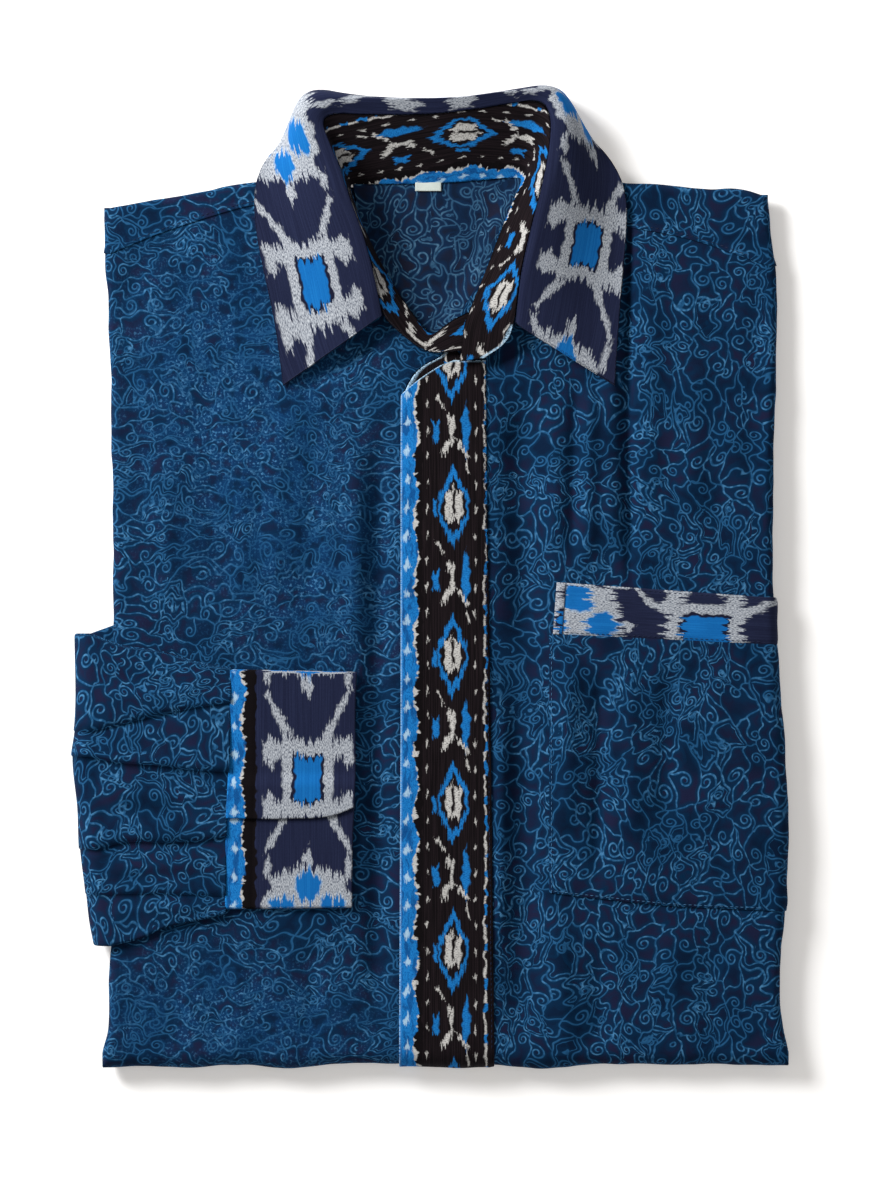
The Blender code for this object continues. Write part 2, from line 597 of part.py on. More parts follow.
def collar_cage():
    """Control points of the collar's section at each station, seam to free edge."""
    column = {name: COLLAR[:, index, None] for index, name in enumerate(COLLAR_COLUMNS)}
    seam = np.concatenate([column["seam_" + axis] for axis in "xyz"], axis=1)
    top = np.concatenate([column["top_" + axis] for axis in "xyz"], axis=1)
    outer = np.concatenate((column["outer_x"], column["outer_y"]), axis=1)
    outward = outer - top[:, :2]
    outward = outward / np.linalg.norm(outward, axis=1, keepdims=True)
    crest_out = 1.2
    crest_up = 0.6
    crest_share = 0.45
    roll = column["roll"]
    crest = top[:, :2] + (roll + crest_out) * outward
    level = top[:, 2:] + crest_share * roll + crest_up
    tucked = np.clip(column["under"] / TUCK_FULL, 0, 1)
    rest = body_height(column["outer_x"], column["outer_y"]) + LEAF_REST
    rest = PANEL_WALL + rest + (HANGING_REST - rest) * tucked
    flat = [np.concatenate((crest + (outer - crest) * share, level + (rest - level) * fall), axis=1)
            for share, fall in LEAF_FLAT]
    underside = 2.0
    hung = [np.concatenate((outer, level * share), axis=1) for share in LEAF_HUNG]
    hung += [np.concatenate((outer - outward * inward, rest), axis=1)
             for inward in (underside, column["under"])]
    turn = [a + (b - a) * tucked for a, b in zip(flat, hung)]
    return seam, top, [np.concatenate((crest, level), axis=1)] + turn


def build_collar():
    """The stand, and the leaf that turns over it, as one section split at the seam."""
    seam, top, leaf = collar_cage()
    down = (seam - top) / np.linalg.norm(seam - top, axis=1, keepdims=True)
    stand = np.stack((seam, (seam + top) / 2, top), axis=1)
    stand = rounded(rounded(stand, 1), 0)
    add_sheet("collar_stand", stand[:, ::-1], TRIM_WALL, "border_ikat")
    start = top - down * COLLAR_GAP
    rise = LEAF_RISE * COLLAR[:, COLLAR_COLUMNS.index("roll"), None]
    cage = np.stack([start, start - down * rise] + leaf, axis=1)[LEAF_ROWS]
    cage = rounded(rounded(cage, 1), 0)
    add_sheet("collar_leaf", cage[:, ::-1], PANEL_WALL, "large_ikat")


def build_tab():
    x, y = np.meshgrid(np.linspace(*TAB_X, 4), np.linspace(*TAB_Y, 3))
    face = np.stack((x, y, back_height(x, y) + LAYER_GAP + TAB_WALL), axis=-1)
    add_wall("neck_tab", face, face - (0, 0, TAB_WALL), "tab")


def cloth_material(name, colour):
    material = bpy.data.materials.new(name)
    material.use_nodes = True
    shader = material.node_tree.nodes["Principled BSDF"]
    shader.inputs["Base Color"].default_value = (*colour, 1)
    shader.inputs["Roughness"].default_value = CLOTH_ROUGHNESS
    return material


for old in list(bpy.data.objects):
    bpy.data.objects.remove(old)
COLLECTIONS = {}
for title in (SHIRT, "cutters"):
    COLLECTIONS[title] = bpy.data.collections.new(title)
    bpy.context.scene.collection.children.link(COLLECTIONS[title])
MATERIALS = {name: cloth_material(name, colour) for name, colour in COLOURS.items()}

build_hidden_layers()
build_fronts()
build_yokes()
build_back()
build_front_bands()
build_pocket()
build_sleeve()
build_cuff()
build_collar()
build_tab()
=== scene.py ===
import bpy
import numpy as np
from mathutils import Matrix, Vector


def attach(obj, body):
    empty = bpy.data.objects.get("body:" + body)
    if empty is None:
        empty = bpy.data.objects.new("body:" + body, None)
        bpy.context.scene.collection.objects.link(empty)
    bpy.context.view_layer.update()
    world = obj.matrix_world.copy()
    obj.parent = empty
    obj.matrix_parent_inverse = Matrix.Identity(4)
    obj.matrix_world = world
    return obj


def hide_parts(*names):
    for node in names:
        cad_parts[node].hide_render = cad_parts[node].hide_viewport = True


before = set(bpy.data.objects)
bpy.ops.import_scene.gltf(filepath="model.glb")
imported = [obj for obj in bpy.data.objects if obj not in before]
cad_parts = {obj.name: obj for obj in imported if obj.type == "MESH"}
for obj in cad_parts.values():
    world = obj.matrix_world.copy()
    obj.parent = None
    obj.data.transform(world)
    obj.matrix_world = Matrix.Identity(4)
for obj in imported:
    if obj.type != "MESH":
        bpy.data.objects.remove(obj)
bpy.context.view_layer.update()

# A long-sleeved batik shirt, folded flat. Lengths are in millimetres until a mesh is made. The
# tables' origin is on the placket's line, and CENTRE moves the meshes to the frame's origin.
# X runs across the shirt, Y up towards its collar and Z up from what it lies on.
MM = 0.001
CENTRE = np.array((0.24, 0.51, 0.0))

# ---------------------------------------------------------------- the folded body's form

PANEL_CLOTH = 0.5
SOLID_WALL = 1.3
SEAM_GAP = 0.4
LAYER_GAP = 0.45
POCKET_LIFT = 1.35
BAND_LIFT = 1.85
PLACKET_LIFT = 1.65
SLEEVE_WALL = 2.6

TAIL_HEIGHT = 14.0
SHOULDER_HEIGHT = 9.6
THINNING_Y = 10.0
THINNING = 185.0
HOLLOW_DEPTH = 0.35
HOLLOW_ACROSS = 31.0
HOLLOW_ALONG = 43.0
HOLLOW_SHIFTS = (0.8, -0.4)
HOLLOW_CALM = 0.6
SIDE_FOLDS_X = (-155.0, 170.0)
END_FOLDS_Y = (-240.0, 195.0)
SIDE_SHARE = 0.32
TOP_SHARE = 0.34
TAIL_SHARE = 0.5
SIDE_TURN = np.radians(122)
TAIL_TURN = np.radians(152)
TOP_TURN = np.radians(115)
TRIM_TURN = np.radians(122)

LEFT_EDGE = {
    "y": (-237, -229, -210, -180, -25, 40, 90, 150, 185),
    "x": (-164.2, -161.8, -161, -160, -158.6, -159, -160, -162, -163)}
RIGHT_EDGE = {
    "y": (-237, -229, -160, -110, -85, -60, -5, 90, 137, 160, 178, 192),
    "x": (180, 177.8, 177.4, 177.4, 176.2, 174.2, 172, 173, 173.6, 172.2, 170, 168.2)}
TAIL_EDGE = {
    "x": (-164, -142, -120, -100, -70, -45, -16, 32, 52, 74, 122, 180),
    "y": (-245, -243.8, -244.4, -243, -244.8, -243, -242.8, -243.2, -244.8, -243.4, -242.8, -244)}
SHOULDER_EDGE = {
    "x": (-163, -126, -88, -40, 0, 48, 99, 140, 159, 168),
    "y": (185, 192, 198.4, 198.4, 198.4, 201, 198.2, 195.4, 194, 191)}
RIGHT_YOKE_SEAM = {
    "x": (-168, -136.5, -113, -89.5, -62, -38),
    "y": (160, 173, 181, 187.5, 190, 191)}
LEFT_YOKE_SEAM = {
    "x": (40, 75, 100, 122, 142, 153, 176),
    "y": (186, 181, 176.5, 172.5, 167, 163, 155)}
NECKLINE = {
    "y": (92, 98, 104, 108, 111, 114, 118, 121, 127, 134, 145, 155, 165, 174, 185, 198),
    "right": (-13.8, -11, -6.8, -1.5, 4.5, 6.8, 3, 0.5,
              -5, -10, -17.5, -23, -28.5, -32.5, -36.5, -39.8),
    "left": (24, 24, 23, 20, 16.5, 14, 12.5, 12, 13, 16, 22.3, 27.6, 31.4, 34.7, 40, 47.4)}
NECK_BOWL_DEPTH = 3.6
NECK_BOWL_SLOPE = 12.0
NECK_APEX = 119.0
BACK_LAP = 5.5

# Creases of the body: each a line from one end to the other, bowed sideways, with the half
# width of its soft section and its height, less than 0 for a trough.
BODY_CREASES = (
    (47, 104, 49, -52, 1.5, 9, -5.8),
    (43, -28, 46, -242, -2, 9.5, -5.6),
    (61, 94, 62, 4, -1, 4.2, 1.4),
    (74, 104, 72, 4, 1, 3.2, -2.6),
    (79, 104, 78, 2, -1, 4.8, 2.8),
    (98, 202, 101, -16, 1.2, 2.8, -4.4),
    (90, 130, 91, 6, 0.6, 4, 1.6),
    (110, 170, 108, 20, -1.5, 6, 1.5),
    (38, -52, 36, -192, 0.8, 3.8, 2.4),
    (71, -34, 70, -130, 2, 6, 3.2),
    (85, -38, 83, -158, -1, 4.6, -3.2),
    (100, -36, 102, -142, 1, 5, 1.9),
    (122, -38, 119, -132, 2.5, 6, -2.2),
    (142, -44, 140, -124, -2, 6, 1.4),
    (105, -60, 108, -170, -2, 8, 0.8),
    (64, -168, 70, -240, 1, 5.5, 2),
    (88, -174, 86, -238, 2, 6, -1.8),
    (118, -172, 120, -240, -2, 8, 1.3),
    (145, -170, 142, -240, 2, 7, -1),
    (58, -162, 176, -167, 0, 2.2, -0.35),
    (-24, 98, -26, -243, 1.5, 6, -4.6),
    (-38, 76, -40, -42, -1.5, 5.5, 1.9),
    (-72, 92, -76, -16, 3, 6, 1.2),
    (-58, 84, -64, -34, -2, 6, -1.6),
    (-112, 110, -104, -14, 3, 8, -1.2),
    (-132, 70, -128, -20, 2, 7, 1.2),
    (-92, 70, -96, -14, -2, 5, 0.9),
    (-96, -184, -94, -240, 1.5, 6, 1.3),
    (-62, -178, -60, -242, -1.5, 6, -1.6),
    (-128, -190, -126, -240, 1, 7, -1),
    (-69, 91, -22, 122, 0, 4.5, -2.6),
    (48, 118, 92, 92, 0, 4.5, -2.6),
    (26, 109, 58, 119, 0, 6, -3),
    (-150, 160, -140, 50, 4, 7, -1.2),
    (140, 90, 150, -4, 2, 8, -1.4),
    (150, -60, 160, -150, -3, 8, 1.2),
    (164, 158, 162, 30, 1, 6, -1.4),
    (128, 150, 132, 30, -2, 7, 1.1),
    (-122, 172, -92, 150, 2, 7, 1),
    (-140, 168, -150, 140, 2, 6, -0.8))
# Ripples of the whole cloth: wavelength, direction in degrees and height.
RIPPLES = ((61, 12, 0.26), (43, 78, 0.18), (31, -35, 0.15), (24, 55, 0.11), (19, 8, 0.09),
           (14, -70, 0.06), (11, 30, 0.04))


def smooth(step):
    """Ease from 0 to 1: three times the step squared less twice its cube."""
    step = np.clip(step, 0, 1)
    return step * step * (3 - 2 * step)


def stacked(*coordinates):
    """Points from the arrays of their coordinates."""
    return np.stack(coordinates, axis=-1)


def curve(table, at, key, value):
    """A cubic through a table's rows, with each row's slope taken across its neighbours."""
    knots = np.array(table[key], float)
    values = np.array(table[value], float)
    slopes = np.gradient(values, knots)
    at = np.clip(at, knots[0], knots[-1])
    index = np.clip(np.searchsorted(knots, at, side="right") - 1, 0, len(knots) - 2)
    span = knots[index + 1] - knots[index]
    t = (at - knots[index]) / span
    start = (1 + 2 * t) * (1 - t) ** 2 * values[index] + t * (1 - t) ** 2 * span * slopes[index]
    end = t * t * (3 - 2 * t) * values[index + 1] + t * t * (t - 1) * span * slopes[index + 1]
    return start + end


def straight(table, at, key, value):
    """The value that a table gives at a place along its key, straight between rows."""
    return np.interp(at, table[key], table[value])


def body_height(x, y):
    """Top of the folded stack: thick at the tail, thin at the shoulders, with slow hollows."""
    fall = smooth((y - THINNING_Y) / THINNING)
    shift_x, shift_y = HOLLOW_SHIFTS
    hollows = np.sin(x / HOLLOW_ACROSS + shift_x) * np.sin(y / HOLLOW_ALONG + shift_y)
    hollows = HOLLOW_DEPTH * hollows * (1 - HOLLOW_CALM * fall)
    return TAIL_HEIGHT + (SHOULDER_HEIGHT - TAIL_HEIGHT) * fall + hollows


def crease_field(x, y, table):
    """Height of soft creases: a bell across each bowed line, eased away towards its ends."""
    total = np.zeros_like(x)
    taper = 0.22
    for row in table:
        x0, y0, x1, y1, bow, width, height = row
        long = np.hypot(x1 - x0, y1 - y0)
        along = ((x - x0) * (x1 - x0) + (y - y0) * (y1 - y0)) / long ** 2
        across = ((x - x0) * (y1 - y0) - (y - y0) * (x1 - x0)) / long
        across = across - 4 * bow * along * (1 - along)
        ends = smooth(along / taper) * smooth((1 - along) / taper)
        total += height * ends * np.exp(-(across / width) ** 2)
    return total


def ripple_field(x, y):
    """Slow waves of the cloth: a sum of sines, each with its own direction."""
    total = np.zeros_like(x)
    start = 1.7
    bend = 0.8
    bend_rate = 0.37
    for order, (length, degrees, height) in enumerate(RIPPLES):
        turn = np.radians(degrees)
        phase = 2 * np.pi * (x * np.cos(turn) + y * np.sin(turn)) / length
        total += height * np.sin(phase + start * order + bend * np.sin(phase * bend_rate + order))
    return total


def body_folds(x, y):
    """Creases and ripples that everything on the body shares."""
    return crease_field(x, y, BODY_CREASES) + ripple_field(x, y)


def rolled(x, y, turn_x, turn_y, height, side_radius, end_radius):
    """A point of a sheet that turns round the body's folds, whose radii may differ.

    (x, y) is where the fold starts. The turn in radians is the larger of the two turns, and
    their shares point outwards, so the folds meet in square corners.
    """
    turn = np.maximum(np.abs(turn_x), np.abs(turn_y))
    divisor = np.where(turn > 0, turn, 1)
    share_x = turn_x / divisor
    share_y = turn_y / divisor
    weight = share_x ** 2 / np.maximum(share_x ** 2 + share_y ** 2, 1e-9)
    drop_radius = side_radius * weight + end_radius * (1 - weight)
    return stacked(x + side_radius * np.sin(turn) * share_x,
                     y + end_radius * np.sin(turn) * share_y,
                     height - drop_radius * (1 - np.cos(turn)))


def end_share(turn_y):
    """The share of the height that is the end fold's radius, at the shoulders or at the tail."""
    return np.where(turn_y > 0, TOP_SHARE, TAIL_SHARE)


def on_body(x, y, turn_x, turn_y, lift):
    """A point at a height above the fronts' face, measured square to it all round the folds."""
    height = body_height(x, y)
    return rolled(x, y, turn_x, turn_y, height + lift,
                  SIDE_SHARE * height + lift, end_share(turn_y) * height + lift)


def left_start(y):
    return curve(LEFT_EDGE, y, "y", "x") + SIDE_SHARE * body_height(SIDE_FOLDS_X[0], y)


def right_start(y):
    return curve(RIGHT_EDGE, y, "y", "x") - SIDE_SHARE * body_height(SIDE_FOLDS_X[1], y)


def tail_start(x):
    return curve(TAIL_EDGE, x, "x", "y") + TAIL_SHARE * body_height(x, END_FOLDS_Y[0])


def shoulder_start(x):
    return curve(SHOULDER_EDGE, x, "x", "y") - TOP_SHARE * body_height(x, END_FOLDS_Y[1])


def neck_right(y):
    return curve(NECKLINE, y, "y", "right")


def neck_left(y):
    return curve(NECKLINE, y, "y", "left")


def right_seam(x):
    return curve(RIGHT_YOKE_SEAM, x, "x", "y")


def left_seam(x):
    return curve(LEFT_YOKE_SEAM, x, "x", "y")


def inside_neck(x, y):
    """How far inside the neckline a place is, less than 0 outside."""
    return np.minimum(np.minimum(x - neck_right(y), neck_left(y) - x), y - NECK_APEX)


def back_height(x, y):
    """Face of the back: just under the fronts at the neckline, lower inside it."""
    under_fronts = body_height(x, y) - SOLID_WALL - LAYER_GAP
    depth = NECK_BOWL_DEPTH - SOLID_WALL - LAYER_GAP
    return under_fronts - depth * smooth((inside_neck(x, y) + 1) / NECK_BOWL_SLOPE)


# ---------------------------------------------------------------- grids and meshes

def stops(before, count, after, steps=10):
    """Grid lines across a sheet: turns round the fold before it, even shares, turns after it."""
    first = np.linspace(-before, 0, steps, endpoint=False) if before else np.zeros(0)
    last = np.linspace(after, 0, steps, endpoint=False)[::-1] if after else np.zeros(0)
    shares = np.concatenate((0 * first, np.linspace(0, 1, count), 0 * last + 1))
    turns = np.concatenate((first, np.zeros(count), last))
    return shares, turns


def spread(left, right, low, high, across, along):
    """Plan places of a grid between two side edges, functions of y, and two ends, of x."""
    share_x, share_y = np.meshgrid(across[0], along[0])
    turn_x, turn_y = np.meshgrid(across[1], along[1])
    x = np.zeros_like(share_x)
    for _ in range(8):
        y = low(x) + (high(x) - low(x)) * share_y
        x = left(y) + (right(y) - left(y)) * share_x
    return x, y, turn_x, turn_y


def unrolled(x, y, turn_x, turn_y):
    """Places on the flat cloth: the plan's, with each turn laid out as its arc."""
    height = body_height(x, y)
    return stacked(x + turn_x * SIDE_SHARE * height, y + turn_y * end_share(turn_y) * height)


def grid_faces(rows, columns, offset=0):
    """Quads of a grid whose normals point up when rows run along Y and columns along X."""
    index = np.arange(rows * columns).reshape(rows, columns) + offset
    corners = (index[:-1, :-1], index[:-1, 1:], index[1:, 1:], index[1:, :-1])
    return np.stack([corner.ravel() for corner in corners], axis=1)


def border(rows, columns, offset=0):
    """Indices round a grid's edge, counter-clockwise from above."""
    index = np.arange(rows * columns).reshape(rows, columns) + offset
    return np.concatenate((index[0, :-1], index[:-1, -1], index[-1, :0:-1], index[:0:-1, 0]))


def join_rings(lower, upper):
    """Quads between two rings of the same length, facing away from their middle."""
    return np.stack((lower, np.roll(lower, -1), np.roll(upper, -1), upper), axis=1)


def unit(vectors):
    """Vectors divided by their lengths."""
    return vectors / np.maximum(np.linalg.norm(vectors, axis=-1, keepdims=True), 1e-9)


def add_mesh(name, points, faces, cloth, finish, more_faces=()):
    """A piece from its points, its quads and each point's place on the flat cloth."""
    mesh = bpy.data.meshes.new(name)
    mesh.from_pydata(((points - CENTRE) * MM).tolist(), [], [*faces.tolist(), *more_faces])
    layer = mesh.uv_layers.new(name="cloth")
    corners = np.zeros(len(mesh.loops), np.int32)
    mesh.loops.foreach_get("vertex_index", corners)
    layer.data.foreach_set("uv", (cloth[corners] * MM).ravel())
    mesh.materials.append(finish)
    mesh.shade_smooth()
    piece = bpy.data.objects.new(name, mesh)
    bpy.context.scene.collection.objects.link(piece)
    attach(piece, "root")
    return piece


def add_cloth(name, outer, inner, cloth, finish):
    """A closed piece of cloth between two grids, with a rounded edge.

    The edge is half a circle about the middle of the wall: its centre lies half the wall in
    from the outline, and five points turn from the face that shows to the one below.
    """
    rows, columns = outer.shape[:2]
    count = rows * columns
    edge = border(rows, columns)
    row, column = np.unravel_index(edge, (rows, columns))
    inside = (np.clip(row, 1, rows - 2), np.clip(column, 1, columns - 2))
    middle = (outer[row, column] + inner[row, column]) / 2
    half = np.linalg.norm(outer[row, column] - inner[row, column], axis=-1, keepdims=True) / 2
    upward = unit(outer[row, column] - inner[row, column])
    outward = middle - (outer[inside] + inner[inside]) / 2
    outward = unit(outward - upward * (outward * upward).sum(axis=-1, keepdims=True))
    outer, inner = outer.copy(), inner.copy()
    outer[row, column] -= outward * half
    inner[row, column] -= outward * half
    points = [outer.reshape(-1, 3), inner.reshape(-1, 3)]
    places = [cloth.reshape(-1, 2), cloth.reshape(-1, 2)]
    faces = [grid_faces(rows, columns), grid_faces(rows, columns, count)[:, ::-1]]
    upper = edge
    total = 2 * count
    for angle in np.radians((45, 90, 135)):
        ring = middle + half * (np.cos(angle) * upward + (np.sin(angle) - 1) * outward)
        lower = np.arange(len(edge)) + total
        points.append(ring)
        places.append(cloth[row, column])
        faces.append(join_rings(lower, upper))
        upper = lower
        total += len(edge)
    faces.append(join_rings(edge + count, upper))
    return add_mesh(name, np.concatenate(points), np.concatenate(faces),
                    np.concatenate(places), finish)


def add_panel(name, places, lift, wall, cloth, finish):
    """Cloth that lies on the body at a height above the fronts' face, with the body's folds."""
    lift = lift + body_folds(places[0], places[1])
    return add_cloth(name, on_body(*places, lift), on_body(*places, lift - wall), cloth, finish)


def add_stitches(name, paths, finish):
    """Rows of sewing: each path is points and normals, and each stitch is a short bent thread.

    A stitch is six-sided. Its centre follows the path, raised by a half sine, and its radius
    shrinks to nothing at both ends.
    """
    pitch = 2.6
    share = 0.66
    thread = 0.17
    sink = 0.04
    rings = np.array((0, 0.15, 0.5, 0.85, 1))
    sides = np.radians(np.arange(0, 360, 60))
    all_points, all_faces, total = [], [], 0
    for points, normals in paths:
        reach = np.concatenate(((0,), np.cumsum(np.linalg.norm(np.diff(points, axis=0), axis=1))))
        starts = np.arange(pitch / 2, reach[-1] - pitch, pitch)
        at = starts[:, None] + rings * pitch * share
        centre = np.stack([np.interp(at, reach, points[:, axis]) for axis in range(3)], axis=-1)
        up = unit(np.stack([np.interp(at, reach, normals[:, axis]) for axis in range(3)], axis=-1))
        along = unit(np.gradient(centre, axis=1))
        side = unit(np.cross(up, along))
        up = np.cross(along, side)
        width = thread * np.maximum(np.sin(np.pi * rings), 0.05)[:, None] ** 0.5
        centre = centre + up * (thread * np.sin(np.pi * rings) - sink)[:, None]
        ring = (centre[:, :, None] + side[:, :, None] * (width * np.cos(sides))[..., None]
                + up[:, :, None] * (width * np.sin(sides))[..., None])
        index = np.arange(ring.size // 3).reshape(ring.shape[:3]) + total
        following = np.roll(index, -1, axis=2)
        quads = stacked(index[:, :-1], following[:, :-1], following[:, 1:], index[:, 1:])
        all_points.append(ring.reshape(-1, 3))
        all_faces.append(quads.reshape(-1, 4))
        for cap, turn in ((index[:, 0], -1), (index[:, -1], 1)):
            all_faces += [cap[:, (0, 1, 2, 3)][:, ::turn], cap[:, (0, 3, 4, 5)][:, ::turn]]
        total += ring.size // 3
    points = np.concatenate(all_points)
    return add_mesh(name, points, np.concatenate(all_faces), points[:, :2], finish)


def sewn_line(x, y, lift):
    """A path along the body at a height above the fronts' face, with its normals."""
    reach = 0.4

    def level(at_x, at_y):
        return body_height(at_x, at_y) + body_folds(at_x, at_y)

    slope_x = (level(x + reach, y) - level(x - reach, y)) / (2 * reach)
    slope_y = (level(x, y + reach) - level(x, y - reach)) / (2 * reach)
    normals = stacked(-slope_x, -slope_y, np.ones_like(x))
    return stacked(x, y, level(x, y) + lift), normals


def grid_line(grid, inward, last):
    """A path on a grid's face at a distance from its first row or its last, with its normals."""
    normals = unit(np.cross(np.gradient(grid, axis=1), np.gradient(grid, axis=0)))
    if last:
        grid, normals = grid[::-1], normals[::-1]
    steps = np.linalg.norm(np.diff(grid, axis=0), axis=-1)
    reach = np.concatenate((np.zeros((1, grid.shape[1])), np.cumsum(steps, axis=0)))

    def along(values):
        return np.array([[np.interp(inward, reach[:, column], values[:, column, axis])
                          for axis in range(3)] for column in range(grid.shape[1])])

    return along(grid), along(normals)


def evenly(first, last):
    """Numbers from one end to the other, about 1 mm apart."""
    return np.linspace(first, last, max(int(abs(last - first)), 2))


# ---------------------------------------------------------------- the hidden layers

CORE_INSET = 2.4
CORE_TURN = np.radians(150)
NECK_ROOM = 0.6
NECK_MARGIN = 24.0
NECK_SLOPE = 12.0
NECK_RADIUS = 1.2
GROOVE_INSET = 1.0
GROOVE_LEVEL = 0.92
HIDDEN_FOLDS = 3
LOBE_SHARE = 0.62
LOBE_START = 2.3
LOBE_MEAN = 0.8
# Unevenness of the hidden folds: a wave's length over 2 pi, its shift from fold to fold and
# its share.
LOBE_WAVES = ((23.0, 2.1, 0.14), (9.0, 4, 0.08))
LOBE_ROUND = 0.28
EDGE_CLOTH = 14.0
FLOOR_LIP = 12.0
# The box taken out of their underside for the sleeve's tucked end: its low and high corners.
SLEEVE_ROOM = np.array(((-205.0, -195.0, -5.0), (-132.0, -8.0, 4.1)))


def core_point(x, y, turn_x, turn_y):
    """Face of the hidden layers: inside the panels, and lower under the neck opening."""
    height = body_height(x, y)
    neck_drop = NECK_BOWL_DEPTH + NECK_ROOM
    neck = smooth((inside_neck(x, y) + NECK_MARGIN) / NECK_SLOPE)
    end_radius = end_share(turn_y) * height - CORE_INSET
    end_radius += (NECK_RADIUS - end_radius) * neck * (turn_y > 0)
    face = height - CORE_INSET - neck_drop * neck + body_folds(x, y) * (1 - neck)
    return rolled(x, y, turn_x, turn_y, face, SIDE_SHARE * height - CORE_INSET, end_radius)


def build_hidden_layers(finish):
    """The folded sides, back, tail and other sleeve: a core whose edge is three soft folds.

    Below the groove under the wrapped fronts the edge is a row of half rounds, one for each
    hidden fold, inside the half round that holds them all, and each stands out unevenly.
    """
    across = stops(CORE_TURN, 90, CORE_TURN, 8)
    along = stops(CORE_TURN, 110, CORE_TURN, 8)
    plan = spread(left_start, right_start, tail_start, shoulder_start, across, along)
    top = core_point(*plan)
    edge = border(*top.shape[:2])
    outward = stacked(*plan[2:]).reshape(-1, 2)[edge] / CORE_TURN
    flat = unrolled(*plan).reshape(-1, 2)
    groove = top.reshape(-1, 3)[edge]
    groove[:, :2] -= GROOVE_INSET * outward
    groove[:, 2] *= GROOVE_LEVEL
    lobe = LOBE_SHARE * np.maximum(groove[:, 2] - LOBE_START, 0)
    walk = np.cumsum(np.linalg.norm(np.diff(groove, axis=0, append=groove[:1]), axis=1))
    points, places = [top.reshape(-1, 3), groove], [flat, flat[edge]]
    ring_points = np.arange(len(edge)) + top.size // 3
    faces = [join_rings(ring_points, edge)]
    for step in np.linspace(0, 1, 25)[1:]:
        fold = min(int(step * HIDDEN_FOLDS), HIDDEN_FOLDS - 1)
        turn = np.pi * (step * HIDDEN_FOLDS - fold)
        uneven = sum((share * np.sin(walk / length + shift * fold)
                      for length, shift, share in LOBE_WAVES), LOBE_MEAN)
        reach = np.sqrt(np.sin(np.pi * np.clip(step, 0, 0.97)))
        reach = reach * (1 - LOBE_ROUND + LOBE_ROUND * np.sqrt(np.sin(turn)))
        ring = groove.copy()
        ring[:, :2] += (lobe * uneven * reach)[:, None] * outward
        ring[:, 2] = groove[:, 2] * (1 - step)
        ring_points = ring_points + len(edge)
        faces.append(join_rings(ring_points, ring_points - len(edge)))
        points.append(ring)
        places.append(flat[edge] + EDGE_CLOTH * step * outward)
    inner = points[-1].copy()
    inner[:, :2] -= FLOOR_LIP * outward
    points.append(inner)
    places.append(places[-1] + FLOOR_LIP * outward)
    inner_ring = ring_points + len(edge)
    faces.append(join_rings(inner_ring, ring_points))
    quads = np.concatenate([grid_faces(*top.shape[:2])] + faces)
    piece = add_mesh("hidden_folds", np.concatenate(points), quads, np.concatenate(places), finish,
                     [inner_ring[::-1].tolist()])
    clear_sleeve(piece)
    return piece


def clear_sleeve(piece):
    """Take room for the sleeve's tucked end out of the hidden layers' underside."""
    low, high = SLEEVE_ROOM
    bpy.ops.mesh.primitive_cube_add(size=1, location=((low + high) / 2 - CENTRE) * MM)
    cutter = bpy.context.object
    cutter.scale = (high - low) * MM
    bpy.context.view_layer.update()
    cut = piece.modifiers.new("sleeve_room", "BOOLEAN")
    cut.operation = "DIFFERENCE"
    cut.object = cutter
    graph = bpy.context.evaluated_depsgraph_get()
    whole = piece.data
    piece.data = bpy.data.meshes.new_from_object(piece.evaluated_get(graph), depsgraph=graph)
    piece.modifiers.clear()
    bpy.data.meshes.remove(whole)
    bpy.data.objects.remove(cutter)


# ---------------------------------------------------------------- fronts, yokes and back

UNDER_YOKE = 0.9
YOKE_LAP = 0.7
# Heights that ease away from an edge: the height at the edge, and how far it reaches.
YOKE_LAP_RISE = (0.65, 4.5)
LEFT_YOKE_PRINT = (13.0, 29.0)
YOKE_CLEARANCE = 0.9
BACK_NARROWING_Y = 182.0
BACK_NARROWING = 8.0
UNDER_STAND = 1.0
BACK_SINK = 0.1
NECK_CREASE_SHARE = 0.5
NECK_CREASES = (
    (-8, 190, 2, 140, 2.0, 5.0, 0.7),
    (18, 188, 14, 136, -1.5, 5.0, -0.7),
    (-20, 172, -4, 134, -2.0, 4.0, -0.6))


def turned(flat):
    """Cloth laid with its length across the shirt."""
    return stacked(flat[..., 1], -flat[..., 0])


def eased_edge(distance, step):
    """A height at an edge that eases to nothing over its reach."""
    height, reach = step
    return height * (1 - smooth(distance / reach))


def build_fronts(finish):
    """Both fronts, wrapped round their side and tail folds, up to the yokes and the neckline."""
    along = stops(TAIL_TURN, 220, 0)
    places = spread(left_start, neck_right, tail_start, lambda x: right_seam(x) + UNDER_YOKE,
                    stops(SIDE_TURN, 84, 0), along)
    right = add_panel("right_front", places, 0, PANEL_CLOTH, turned(unrolled(*places)), finish)
    places = spread(neck_left, right_start, tail_start, lambda x: left_seam(x) + UNDER_YOKE,
                    stops(0, 90, SIDE_TURN), along)
    left = add_panel("left_front", places, 0, PANEL_CLOTH, unrolled(*places), finish)
    return right, left


